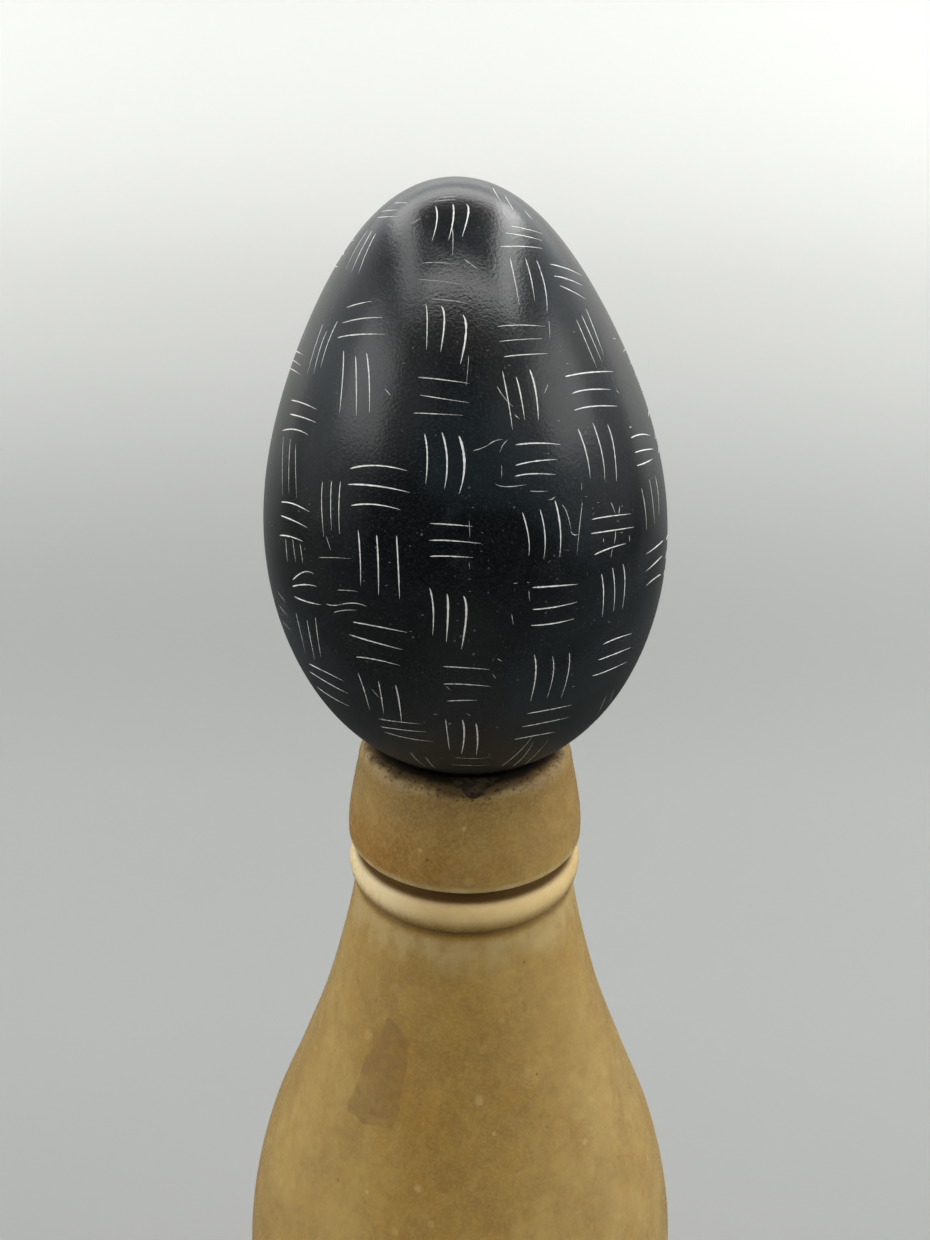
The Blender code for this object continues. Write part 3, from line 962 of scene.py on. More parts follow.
# Groups of strokes, read as pixels of the photograph. A group starts with its tone, which is how
# pale the stone shows in it, where 1 is a deep clean cut. A stroke is its start, middle and end, and a
# seventh number is its width in pixels where it is wider or finer than its neighbours.
FRONT_COLUMN = {
    "tip_across": (0.60, (435, 201.3, 446, 200.0, 456.5, 199.5, 1.2),
        (440, 197.5, 449, 196.6, 457.5, 196.3, 1.0)),
    "first_upright": (0.90, (435.5, 206, 437, 220, 432, 241, 1.9), (453, 204, 453.3, 219, 448.5, 240, 2.3),
        (466, 204, 468.4, 213, 462, 237, 2.0)),
    "first_across": (0.50, (421.5, 263, 440, 262.6, 460, 264.5, 1.1),
        (431, 299, 452, 300.5, 473, 304.5, 1.2)),
    "second_upright": (1.00, (425, 304, 427, 314, 426.5, 350, 1.4),
        (441, 306, 444.3, 320, 440.5, 352, 2.3), (463, 315, 466, 332, 460.3, 364, 2.8)),
    "second_across": (0.72, (418, 377.2, 440, 379.3, 470, 383.5), (420, 395, 440, 398.2, 470, 402.8, 1.2),
        (413.5, 413, 430, 413.5, 463, 415.3, 1.3)),
    "third_upright": (1.00, (424.4, 433.8, 427.2, 455, 425.6, 484, 2.0),
        (442, 432.5, 447, 459, 444.5, 489, 2.4), (459, 436, 464.4, 464, 459, 494, 3.0)),
    "third_across": (0.72, (430, 523.5, 450, 524.4, 473, 526.6), (428.8, 540.4, 450, 540.5, 481, 543.5),
        (430, 556.5, 445, 556, 473, 557.5)),
    "fourth_upright": (1.00, (429.6, 587.8, 433.2, 608, 432.6, 635, 2.2),
        (447, 594, 448, 610, 446.3, 642, 2.8), (463.5, 596, 466.3, 614, 461.5, 649, 3.0)),
    "fourth_across": (0.66, (443, 666.5, 462, 667.5, 490, 669.5), (443.7, 684, 465, 684.3, 491, 686.6),
        (446.9, 701.2, 458, 700.5, 477, 700.3)),
    "fifth_upright": (0.62, (445.5, 719, 447.5, 735, 449.5, 750),
        (462.5, 720, 464.2, 735, 461.3, 754, 2.2), (476, 723, 477.6, 740, 476, 755, 2.2)),
    "fifth_across": (0.45, (455, 757.5, 475, 758.5, 492, 757, 1.2),
        (451, 764.6, 475, 765.5, 492, 764.5, 1.2)),
}
RIGHT_COLUMN = {
    "tip_slants": (0.80, (493, 188, 496.5, 194.5, 501, 202, 1.3), (505, 196, 511, 206, 517, 216, 1.3),
        (524.5, 210.5, 528, 214.5, 532, 219.5, 1.8)),
    "first_across": (0.90, (510, 226, 526, 229, 542.5, 233.5, 1.4),
        (505.5, 233, 524, 235.8, 542, 240.5, 1.6), (500, 246.6, 524, 246.4, 542.5, 248.5)),
    "first_upright": (0.80, (510, 258, 515, 281, 519.5, 305.5, 1.5),
        (525.5, 258.5, 531, 278, 534.7, 301, 1.7), (536.5, 260, 545, 287, 547, 313)),
    "second_across": (0.90, (497.5, 326.5, 520, 325, 545.5, 326.5, 1.3),
        (499, 341.5, 520, 339.5, 542.5, 338.5, 0.9), (503.8, 356.9, 520, 354.9, 547.5, 353.5)),
    "second_upright": (1.00, (502.5, 371, 508.8, 404, 512.5, 430, 1.7),
        (516, 376.5, 520.6, 394, 524.7, 420, 1.9), (529.6, 369.4, 535.6, 390, 538.5, 420, 2.4)),
    "third_across": (0.95, (515.6, 444.7, 538, 443, 560.6, 444.6, 2.3),
        (515.6, 465.4, 533.8, 461.3, 557.5, 459.4), (515, 476.3, 532, 473.7, 556, 474.6)),
    "third_upright": (0.95, (522.5, 512.5, 528.4, 536, 528.8, 556), (540, 509.4, 544.9, 534, 543.8, 559),
        (555, 500.6, 560.3, 528, 559.6, 557, 2.2)),
    "fourth_across": (0.72, (532.5, 587.5, 555, 586, 578, 584.1, 2.1), (532.8, 609.5, 555, 607, 577, 602),
        (531, 625.5, 553, 623.5, 574, 618.8)),
    "fourth_upright": (0.80, (534.3, 655, 535.8, 674, 530.5, 701.5, 2.1),
        (552.5, 656.5, 553.2, 674, 547, 698, 1.3), (569.3, 652.5, 568.4, 672, 561, 698, 1.4)),
    "fifth_across": (0.66, (527.5, 713.5, 550, 709.5, 572, 705), (522, 726.8, 545, 722.5, 570, 717),
        (514.5, 739.5, 535, 735.5, 555, 732)),
    "foot_slants": (0.50, (501, 766.5, 520, 751, 533, 735, 1.4), (512.5, 766.5, 525, 755, 533.5, 741, 1.3),
        (525, 764, 539, 751, 548, 740, 1.2)),
}
FAR_RIGHT_COLUMN = {
    "first_across": (0.90, (549.5, 264, 567.5, 268.8, 582, 276), (554, 276, 567, 278.8, 582.5, 285.6),
        (559.5, 285.5, 573, 291.6, 586, 299.3, 1.5)),
    "first_upright": (0.90, (576.5, 319.6, 586.5, 343, 597, 368, 1.6),
        (581.5, 314.8, 592.6, 340, 602, 362, 1.7), (586, 308.5, 596, 334, 603.8, 355, 1.7)),
    "second_across": (1.00, (565.3, 376.5, 588, 372.5, 613, 371.5, 2.1),
        (572, 393.5, 588, 389.6, 611, 389.5), (574, 410.4, 592, 406.3, 617.5, 406.2)),
    "second_upright": (1.00, (578, 428.8, 586.3, 453, 590.4, 478.8), (593, 423, 602, 453, 604.8, 480),
        (607.5, 424.4, 614, 448, 616.6, 482)),
    "third_across": (0.72, (592, 519.4, 608, 516.4, 631, 513.8), (591, 533.5, 612, 530.4, 634.4, 527),
        (594.4, 554.8, 608, 548.8, 626, 543.4)),
    "third_upright": (0.80, (601.5, 574, 603.6, 592, 602.3, 617), (612.5, 568, 614.7, 588, 613.5, 612),
        (623, 564, 625, 583, 622.3, 609)),
    "fourth_across": (0.85, (603, 644.5, 616, 638.6, 632, 633.5), (598.5, 660, 613, 654.6, 630.5, 647.5),
        (592.5, 676, 608, 670.5, 626.5, 662, 1.6)),
    "fourth_upright": (0.40, (613.5, 690, 612.4, 694, 609, 703, 1.0),
        (606, 696, 602.6, 704, 598.5, 713, 1.0)),
}
RIGHT_EDGE = {
    "first_across": (0.60, (627.5, 346, 625.4, 349, 623, 352, 1.6),
        (633, 361, 631.5, 362.4, 630, 364, 1.5), (637, 372, 636, 374, 634.8, 376.5, 1.5)),
    "second_across": (0.85, (631, 437.8, 641, 434.3, 650, 435.6), (635, 452.5, 644.5, 449.8, 654.4, 449),
        (637, 465.6, 646, 462.4, 653, 458.5)),
    "first_upright": (0.65, (641.5, 488, 645.4, 510, 646.5, 530, 1.5),
        (649.4, 479.4, 652.6, 500, 654.6, 523.8, 1.5), (655, 475, 658.3, 495, 658.8, 515, 1.5)),
    "third_across": (0.70, (662.8, 540.6, 654.6, 548, 646, 554), (661.9, 556, 654, 564, 645.6, 571.5),
        (660.6, 574.4, 653, 579.6, 646, 586)),
}
LEFT_COLUMN = {
    "tip_across": (0.80, (394.4, 203, 401, 202.7, 408, 202.8, 1.2),
        (381.9, 211.3, 390.3, 210.3, 398.8, 209.8, 1.3), (377.5, 217.5, 387.5, 216.7, 397.5, 216.5, 1.3)),
    "tip_slants": (0.90, (368, 230, 355.6, 249, 345.6, 270, 1.5),
        (372.5, 230, 361, 250.6, 351.3, 272.5, 1.5), (376, 233, 365.7, 254, 358.4, 274.4, 1.6)),
    "first_across": (0.72, (346.6, 307.5, 358.7, 303.7, 372, 301.2, 1.7),
        (342.5, 323, 361, 318.6, 383, 317.4, 1.7), (337.5, 337.7, 358, 334.4, 385.5, 334.4, 1.9)),
    "first_upright": (0.95, (343.5, 350.6, 342.6, 378, 339.4, 413.8, 1.6),
        (355.6, 356, 356.3, 386, 356.2, 416, 1.6), (366.5, 353, 369, 378, 369.4, 413, 1.7)),
    "second_across": (0.95, (350.3, 468.5, 376, 465.4, 407, 470.6, 2.2),
        (348, 484.4, 376, 485.8, 410, 492.5, 2.2), (351.3, 505.4, 374, 504.3, 400, 509.6, 2.0)),
    "second_upright": (0.90, (358, 530, 360, 556, 360.6, 586), (376.5, 535, 378, 560, 378.5, 595, 2.1),
        (396.6, 536, 398.1, 564, 399.6, 599, 2.2)),
    "third_across": (0.72, (353, 622, 380, 627, 407.5, 632.5, 1.7),
        (349.4, 634.6, 375, 642.4, 402.5, 649.6, 1.9), (356, 657, 376, 659.6, 400, 665.6, 1.7)),
    "third_upright": (0.70, (358, 673, 364.4, 691, 369.5, 710, 1.6),
        (378.3, 681, 381.3, 697, 383.5, 713.5, 1.8), (395.5, 685, 399.2, 703, 401.5, 723, 2.0)),
    "fourth_across": (0.60, (379, 719, 400, 722, 421, 724, 1.6), (380, 726.5, 402, 729.8, 426, 732, 1.7),
        (384.5, 732, 408, 738.2, 433, 741.5, 1.6)),
    "foot_slants": (0.45, (410.5, 752.5, 417.6, 760.5, 427, 767.5, 1.2),
        (426, 757.5, 430.6, 763.6, 435, 768, 1.3)),
}
FAR_LEFT_COLUMN = {
    "first_upright": (0.85, (323, 324, 315, 347, 306.9, 375, 1.4),
        (327, 330.6, 319.6, 350, 313.5, 375, 1.4), (337.7, 321, 328, 342.5, 320.6, 367.5, 1.7)),
    "first_across": (0.72, (291, 400, 303.6, 403.4, 317, 409.8), (290, 414, 303, 417.4, 316, 422.5),
        (282.3, 430.6, 295, 429.4, 308, 434.8)),
    "second_upright": (0.85, (322.5, 482, 321.6, 506, 323.8, 537, 1.4),
        (331.5, 480.6, 330.6, 505, 331.5, 530, 1.4), (340.4, 481, 338.8, 508, 339.6, 533.8, 1.5)),
    "second_across": (0.75, (309, 663.8, 325.6, 672, 343.8, 681, 1.6),
        (309.8, 671.6, 329, 683.6, 348.8, 693.8, 1.7), (316.9, 686.9, 332.6, 697.6, 350, 706.5, 1.6)),
}
LEFT_EDGE = {
    "first_across": (0.70, (294, 350, 298, 352, 303, 354.7, 1.4),
        (292, 359.5, 296, 362, 300.6, 365.6, 1.4), (289.5, 368, 295, 371, 300.6, 374.6, 1.4)),
    "slant": (0.50, (307, 329, 304, 337, 301, 346, 1.1)),
    "first_upright": (0.60, (283.4, 436, 282.3, 465, 282.5, 495, 1.4),
        (290.4, 438.8, 288.8, 467.5, 289, 493.8, 1.5), (295.4, 444, 295.6, 470, 296.5, 497.5, 1.4)),
    "second_across": (0.80, (281.3, 502, 294, 504, 309.4, 512), (281, 515.6, 294, 520.8, 307, 527.5),
        (280, 535.3, 290.6, 536.6, 303, 541.6)),
    "second_upright": (0.60, (285.6, 538.8, 286.4, 550, 287.5, 562, 1.5),
        (292.5, 538.8, 294, 550, 295.6, 562.5, 1.4), (300, 543.8, 301.4, 553, 302.8, 563, 1.4)),
    "third_across": (0.70, (292.8, 579.8, 303.8, 572, 313.8, 573.8, 1.6),
        (292.3, 586.5, 304.6, 584.6, 316.9, 586.5), (294.4, 596.5, 306, 601.4, 321, 604.8)),
    "third_upright": (0.70, (296, 613, 300.5, 632.5, 305.6, 654.4, 1.5),
        (307, 620, 310.6, 640, 314.8, 659.4, 1.5), (315.4, 617.5, 317.7, 637, 321, 657.5, 1.5)),
    "lowest": (0.40, (278, 592, 281.6, 597, 286, 603, 1.2), (279.4, 606, 283.4, 611, 288, 617, 1.2),
        (283, 621, 286.6, 626, 291, 631, 1.2)),
}
STRAY_SCRATCHES = {
    "upper": (0.66, (464, 259, 470, 263.4, 477.5, 269, 0.9), (468.7, 355, 467.6, 371, 466, 387, 0.6),
        (452.5, 229, 453, 242, 452.5, 255, 0.9), (419, 279.5, 441, 281.2, 463, 284.5, 0.6),
        (616.3, 390.3, 617.8, 391.8, 619.4, 393.5, 1.0), (585.6, 431, 585.8, 433, 585.6, 435, 1.0),
        (385, 389, 388, 392.3, 390.6, 396, 1.1), (548, 383.8, 546.4, 389, 543.8, 393.8, 0.7),
        (548.5, 320, 549.6, 329, 549.8, 338.8, 0.7)),
    "hook": (0.66, (497, 386, 504.4, 397.6, 513.7, 407, 1.0),
        (514.4, 414.4, 517, 416.8, 519.7, 418.8, 1.2), (473, 450.6, 481, 448.4, 488.5, 444.8, 1.0),
        (488.5, 444.8, 495, 440.8, 502.5, 439.4, 1.1), (507.5, 440, 502.6, 445.6, 500, 452.5, 0.9),
        (495.6, 483.8, 506, 486.6, 527.5, 484.4, 1.0), (530, 491, 539, 491.4, 548.8, 491, 0.8),
        (550, 500, 553, 498.4, 555.6, 496.3, 1.1), (513, 508.8, 514.4, 507.6, 515.6, 506, 0.9),
        (501.5, 465, 501.7, 472, 501.5, 478.8, 0.7)),
    "right": (0.66, (561.9, 504.8, 567, 513, 571, 530, 1.0), (571, 530, 573.4, 534.6, 580, 533.8, 0.9),
        (582.5, 502, 579.6, 527, 577, 555, 0.9), (548, 562.5, 549.4, 561.9, 550.6, 561, 1.1),
        (581.5, 482.5, 581.7, 486, 581.5, 490, 0.9), (611, 502.5, 613.3, 507.6, 615, 513, 1.2),
        (619.6, 506, 619.3, 511, 618.5, 516, 1.1), (615.6, 531, 615.3, 537, 614.4, 543.8, 1.2),
        (612.5, 548.8, 611.6, 553, 611, 558, 1.0), (603.8, 538, 603.6, 540, 603, 542.5, 1.1),
        (629.4, 535, 629.5, 539, 629.4, 542.5, 1.0)),
    "left": (0.60, (326, 536, 328.6, 543.6, 331, 551, 0.8), (318.8, 557.5, 334, 557.6, 350, 558.5, 0.6),
        (326, 603.8, 333, 605.4, 342, 604.2, 1.2), (342, 604.2, 355, 603.2, 367, 606.5, 1.2),
        (337.5, 590, 348, 590.4, 358, 591.5, 0.7), (333.8, 612.5, 344, 610.3, 356.9, 610.3, 0.8),
        (371.5, 689, 375.6, 693.6, 379.5, 698.5, 0.9), (446, 686, 448.4, 688.4, 451, 691, 0.7)),
    "low": (0.60, (469, 520, 469.6, 529, 469.8, 537.5, 0.6), (469, 562.5, 469.4, 565.6, 469.4, 568.8, 0.9),
        (497.5, 658.5, 500, 660.4, 502.5, 661.6, 0.9), (466, 713.6, 468.4, 714.4, 470.5, 716, 0.8),
        (433, 714.4, 436, 714.2, 438.5, 714.5, 0.8), (448, 725, 449.6, 723.6, 451.5, 723, 0.9),
        (511.8, 614, 512.4, 619, 513.6, 625, 0.8), (529, 590, 529.2, 596, 530, 601, 0.7),
        (492.5, 674, 494.4, 676.6, 496, 679, 0.7), (513, 583.5, 515.4, 583.2, 518, 582.8, 0.9)),
    "nick": (0.42, (411, 223.2, 415.5, 221.4, 420.5, 218.2, 3.0)),
    # A near-black line along the nick's lower side: painted shade of the dent.
    "nick_shade": (0.02, (412, 226.0, 416, 224.6, 421.5, 220.6, 1.2)),
}
SPECKS = {
    "upper": ((403.6, 363.4), (413, 348), (488, 350.3), (509.5, 365.4), (567.5, 363.5), (614.5, 338.5),
        (574, 332), (559, 420.5), (630.5, 427)),
    "middle": ((482.5, 532.5), (481.5, 551), (410, 546), (417.5, 533), (473, 507.5), (548, 453.4),
        (549.4, 499.4), (598.5, 502.5), (586, 496.5), (567.5, 550), (618, 521), (622, 532.5)),
    "lower": ((457.6, 620.4), (609.5, 622), (470, 591.4), (469.6, 579), (389.4, 562.4), (386.4, 585.4),
        (528.4, 582.4), (573.6, 686.6), (557.6, 579), (422.6, 615), (410.4, 631.6), (413, 637)),
}

# Sizes in pixels. A cut is narrower than its stroke looks in the photograph, by its sharpness.
STROKE_WIDTH = 1.8
STROKE_SHARPNESS = 0.74
STROKE_POINTS = 12
SPECK_WIDTH = 1.3
SPECK_LENGTH = 2.2
SPECK_TONE = 0.60
LEAST_TONE = 0.001
SEEN_COLUMNS = (FRONT_COLUMN, RIGHT_COLUMN, FAR_RIGHT_COLUMN, RIGHT_EDGE, LEFT_COLUMN,
                FAR_LEFT_COLUMN, LEFT_EDGE, STRAY_SCRATCHES)

# The far side carries on the same weave by a rule, in columns of threes that lie and stand in turn.
# A pair of numbers is the least and the most of what varies.
HIDDEN_COLUMNS = 12
HIDDEN_FROM = math.radians(60)
COLUMN_PITCH = math.radians(21.8)
ROW_HEIGHTS = (0.93, 0.80, 0.62, 0.42, 0.21, 0.0, -0.21, -0.42, -0.62, -0.80)
UPRIGHT_LENGTH = 0.0060
ACROSS_LENGTH = 0.0058
STROKE_GAP = 0.0021
STROKE_SWAY = 0.0004
STROKE_BOW = (0.0001, 0.0005)
HIDDEN_WIDTH = 0.00022
NARROWEST_PITCH = 0.0052
FULL_PITCH = 0.0078
AROUND_SPREAD = 0.04
ALONG_SPREAD = 0.015
GROUP_TONES = (0.55, 0.95)
TONE_SPREAD = (0.9, 1.1)
UPRIGHT_SPREAD = (0.88, 1.08)
ACROSS_SPREAD = (0.85, 1.08)
WIDTH_SPREAD = (0.75, 1.25)
HIDDEN_SCRATCHES = 46
SCRATCH_WIDTH = 0.00011
SCRATCH_HEIGHTS = (-0.7, 0.8)
SCRATCH_HALF_LENGTHS = (0.0002, 0.0012)
SCRATCH_BOW = (-0.0001, 0.0001)
SCRATCH_TONES = (0.25, 0.5)
LEAST_STEEP = 0.05
NEAREST_POLE = 0.995
ROOM_FOR_A_GROUP = 0.0044
LONG_STROKE = 0.0025
HIDDEN_SEED = 41

# Heights above the egg's foot, between which the wax gives out.
UNWAXED_BELOW = 0.008
WAXED_ABOVE = 0.027

DYED_BLACK = (0.0030, 0.0044, 0.0054, 1.0)
BLUE_BLACK = (0.0145, 0.0225, 0.0270, 1.0)
BROWN_BLACK = (0.0125, 0.0100, 0.0080, 1.0)
RUBBED_GREY = (0.0340, 0.0400, 0.0410, 1.0)
STONE_DUST = (0.2300, 0.2350, 0.2300, 1.0)
PALE_STONE = (0.9600, 0.9600, 0.9200, 1.0)
DUSTY_CUT = (0.2400, 0.2080, 0.1550, 1.0)


def curve_through(start, middle, end, count):
    """Points of the parabola through three points."""
    line = []
    for step in range(count):
        part = step / (count - 1)
        point = start * (2 * (part - 0.5) * (part - 1))
        point = point + middle * (4 * part * (1 - part))
        point = point + end * (2 * part * (part - 0.5))
        line.append(point)
    return line


def skin_point(tree, pixel_x, pixel_y):
    """Where the line of sight through a pixel meets the skin, or passes closest to it at the egg's edge."""
    direction = sight_line(pixel_x, pixel_y)
    met = tree.ray_cast(CAMERA_PLACE, direction)[0]
    if met is not None:
        return met
    towards = egg_place - CAMERA_PLACE
    beside = CAMERA_PLACE + direction * towards.dot(direction)
    return tree.find_nearest(beside)[0]


def plain_egg_tree():
    """The smooth egg as triangles, for lines of sight to meet."""
    points = []
    for ring in range(1, EGG_RINGS):
        along = math.cos(math.pi * ring / EGG_RINGS)
        points += [egg_point(math.tau * side / EGG_SIDES, along) for side in range(EGG_SIDES)]
    tip, foot = len(points), len(points) + 1
    points += [egg_point(0.0, 1.0), egg_point(0.0, -1.0)]
    faces = []
    last = (EGG_RINGS - 2) * EGG_SIDES
    for side in range(EGG_SIDES):
        after = (side + 1) % EGG_SIDES
        faces.append((tip, side, after))
        faces.append((foot, last + after, last + side))
        for ring in range(EGG_RINGS - 2):
            row = ring * EGG_SIDES
            faces.append((row + side, row + EGG_SIDES + side, row + EGG_SIDES + after, row + after))
    return BVHTree.FromPolygons(points, faces)


def seen_strokes(tree):
    """Every stroke of the photographed side: its points on the skin, its width and its tone."""
    strokes = []
    for column in SEEN_COLUMNS:
        for tone, *group in column.values():
            for read in group:
                start, middle, end = Vector(read[0:2]), Vector(read[2:4]), Vector(read[4:6])
                pixels = curve_through(start, middle, end, STROKE_POINTS)
                line = [skin_point(tree, pixel.x, pixel.y) for pixel in pixels]
                depth = (line[0] - CAMERA_PLACE).length
                width = (read[6] if len(read) > 6 else STROKE_WIDTH) * STROKE_SHARPNESS
                strokes.append((line, width * depth / FOCAL_PIXELS, tone))
    for group in SPECKS.values():
        for pixel_x, pixel_y in group:
            ends = (pixel_x - 0.5 * SPECK_LENGTH, pixel_x, pixel_x + 0.5 * SPECK_LENGTH)
            line = [skin_point(tree, end, pixel_y) for end in ends]
            depth = (line[0] - CAMERA_PLACE).length
            strokes.append((line, SPECK_WIDTH * depth / FOCAL_PIXELS, SPECK_TONE))
    return strokes


def skin_line(around, along, turns, rises):
    """A stroke of the far side, from its three points given as steps in metres across and up."""
    radius = egg_radius(along)
    steep = math.sqrt(max(1 - along ** 2, LEAST_STEEP))
    flat = []
    for turn, rise in zip(turns, rises):
        up = along + rise / (0.5 * EGG_LENGTH) * steep
        flat.append(Vector((around + turn / radius, max(min(up, NEAREST_POLE), -NEAREST_POLE))))
    return [egg_point(point.x, point.y) for point in curve_through(*flat, STROKE_POINTS)]


def is_free(place, taken):
    """Whether a place is turned away from the photograph, with no stroke read in it close by."""
    turned = Vector(egg_normals([place])[0]).dot(CAMERA_PLACE - place)
    return turned < 0 and all((place - middle).length > ROOM_FOR_A_GROUP for middle in taken)


def hidden_strokes(rng, seen):
    """The strokes of the far side, three to a group, and its stray scratches."""
    strokes = []
    taken = [line[len(line) // 2] for line, _, _ in seen if (line[0] - line[-1]).length > LONG_STROKE]
    for column in range(HIDDEN_COLUMNS):
        for row, height in enumerate(ROW_HEIGHTS):
            pitch = egg_radius(height) * COLUMN_PITCH
            if pitch < NARROWEST_PITCH and column % 2:
                continue
            # Near the ends every second column is left out, which leaves the others twice the room.
            room = 2 * pitch if pitch < NARROWEST_PITCH else pitch
            squeeze = min(1.0, room / FULL_PITCH)
            around = HIDDEN_FROM + column * COLUMN_PITCH + rng.uniform(-AROUND_SPREAD, AROUND_SPREAD)
            along = height + rng.uniform(-ALONG_SPREAD, ALONG_SPREAD)
            if not is_free(egg_point(around, along), taken):
                continue
            upright = (row + column) % 2 == 0
            group_tone = rng.uniform(*GROUP_TONES)
            for place in (-1, 0, 1):
                sway = rng.uniform(-STROKE_SWAY, STROKE_SWAY)
                bow = rng.uniform(*STROKE_BOW)
                beside = (place * STROKE_GAP + sway, place * STROKE_GAP + bow, place * STROKE_GAP - sway)
                if upright:
                    half = 0.5 * UPRIGHT_LENGTH * rng.uniform(*UPRIGHT_SPREAD)
                    closer = [squeeze * step for step in beside]
                    line = skin_line(around, along, closer, (half, 0.0, -half))
                else:
                    half = 0.5 * squeeze * ACROSS_LENGTH * rng.uniform(*ACROSS_SPREAD)
                    line = skin_line(around, along, (-half, 0.0, half), beside)
                width = HIDDEN_WIDTH * rng.uniform(*WIDTH_SPREAD)
                strokes.append((line, width, group_tone * rng.uniform(*TONE_SPREAD)))
    for scratch in range(HIDDEN_SCRATCHES):
        around = rng.uniform(HIDDEN_FROM, HIDDEN_FROM + (HIDDEN_COLUMNS - 1) * COLUMN_PITCH)
        along = rng.uniform(*SCRATCH_HEIGHTS)
        if not is_free(egg_point(around, along), []):
            continue
        heading = rng.uniform(0, math.pi)
        half = rng.uniform(*SCRATCH_HALF_LENGTHS)
        turns = (-half * math.cos(heading), rng.uniform(*SCRATCH_BOW), half * math.cos(heading))
        rises = (-half * math.sin(heading), rng.uniform(*SCRATCH_BOW), half * math.sin(heading))
        line = skin_line(around, along, turns, rises)
        strokes.append((line, SCRATCH_WIDTH, rng.uniform(*SCRATCH_TONES)))
    return strokes


def stroke_lines(strokes):
    """All strokes as one mesh of loose lines that hold half their width and their tone."""
    points, edges, widths, tones = [], [], [], []
    for line, width, tone in strokes:
        first = len(points)
        points += line
        widths += [0.5 * width] * len(line)
        tones += [tone] * len(line)
        edges += [(first + step, first + step + 1) for step in range(len(line) - 1)]
    mesh = bpy.data.meshes.new("stroke_lines")
    mesh.from_pydata(points, edges, [])
    keep_values(mesh, "half_width", widths)
    keep_values(mesh, "tone", tones)
    lines = bpy.data.objects.new("stroke_lines", mesh)
    bpy.context.scene.collection.objects.link(lines)
    return lines


def smooth_egg_nodes(tree, given):
    """The uncut egg: a ball stretched by the egg's rule, leaned and put in its place."""
    ball = put(tree, "GeometryNodeMeshUVSphere", {
        "Segments": given["Sides"], "Rings": given["Rings"], "Radius": 1.0})
    parts = parts_of(tree, put(tree, "GeometryNodeInputPosition").outputs[0])
    along = parts["Z"]
    squared = times(tree, along, along)
    shape = plus(tree, 1.0, (times(tree, squared, squared), given["Ends"]), (squared, given["Flank"]))
    shape = math_node(tree, "SUBTRACT", shape, times(tree, along, given["Taper"]))
    stretch = times(tree, shape, given["Width"], 0.5)
    height = plus(tree, given["Middle"], (times(tree, along, 0.5), given["Length"]))
    moved = put(tree, "ShaderNodeCombineXYZ", {
        0: times(tree, parts["X"], stretch), 1: times(tree, parts["Y"], stretch), 2: height})
    egg = put(tree, "GeometryNodeSetPosition", {
        "Geometry": ball.outputs["Mesh"], "Position": moved.outputs[0]})
    stood = put(tree, "GeometryNodeTransform", {
        "Geometry": egg.outputs[0], "Translation": given["Place"], "Rotation": given["Turn"]})
    return stood.outputs[0]


def graver_nodes(tree, given, egg):
    """The tool that cuts: a fine rod along every stroke, sunk less than half, and thinner at its ends."""
    drawn = put(tree, "GeometryNodeObjectInfo", {"Object": given["Stroke lines"]})
    curves = put(tree, "GeometryNodeMeshToCurve", {"Mesh": drawn.outputs["Geometry"]})
    fine = put(tree, "GeometryNodeResampleCurve", {
        "Curve": curves.outputs[0], "Length": given["Groove spacing"]}, mode="LENGTH")
    part = put(tree, "GeometryNodeSplineParameter")
    taper = put(tree, "ShaderNodeFloatCurve", {"Value": part.outputs["Factor"]})
    set_curve(taper, GRAVER_TAPER)
    roughness = put(tree, "ShaderNodeTexNoise", {
        "W": given["Seed"], "Scale": GROOVE_RAGGED_SCALE, "Detail": 1.0}, noise_dimensions="4D")
    uneven = math_node(tree, "SUBTRACT", roughness.outputs[0], 0.5)
    ragged = plus(tree, 1.0, (uneven, given["Raggedness"]))
    radius = times(tree, held(tree, "half_width"), taper.outputs[0], ragged, GRAVER_WIDTH)
    nearest = put(tree, "GeometryNodeProximity", {0: egg}, target_element="FACES")
    facing = put(tree, "GeometryNodeSampleNearestSurface", {
        "Mesh": egg, "Value": put(tree, "GeometryNodeInputNormal").outputs[0]}, data_type="FLOAT_VECTOR")
    lift = put(tree, "ShaderNodeVectorMath", {
        0: facing.outputs["Value"], "Scale": times(tree, radius, given["Lift"])}, operation="SCALE")
    laid = put(tree, "GeometryNodeSetPosition", {
        "Geometry": fine.outputs[0], "Position": nearest.outputs["Position"], "Offset": lift.outputs[0]})
    round_tool = put(tree, "GeometryNodeCurvePrimitiveCircle", {"Resolution": 6, "Radius": 1.0})
    rod = put(tree, "GeometryNodeCurveToMesh", {
        "Curve": laid.outputs[0], "Profile Curve": round_tool.outputs["Curve"], "Scale": radius,
        "Fill Caps": True})
    toned = put(tree, "GeometryNodeStoreNamedAttribute", {
        "Geometry": rod.outputs[0], "Name": "cut_tone", "Value": held(tree, "tone")},
        data_type="FLOAT", domain="FACE")
    return toned.outputs[0]


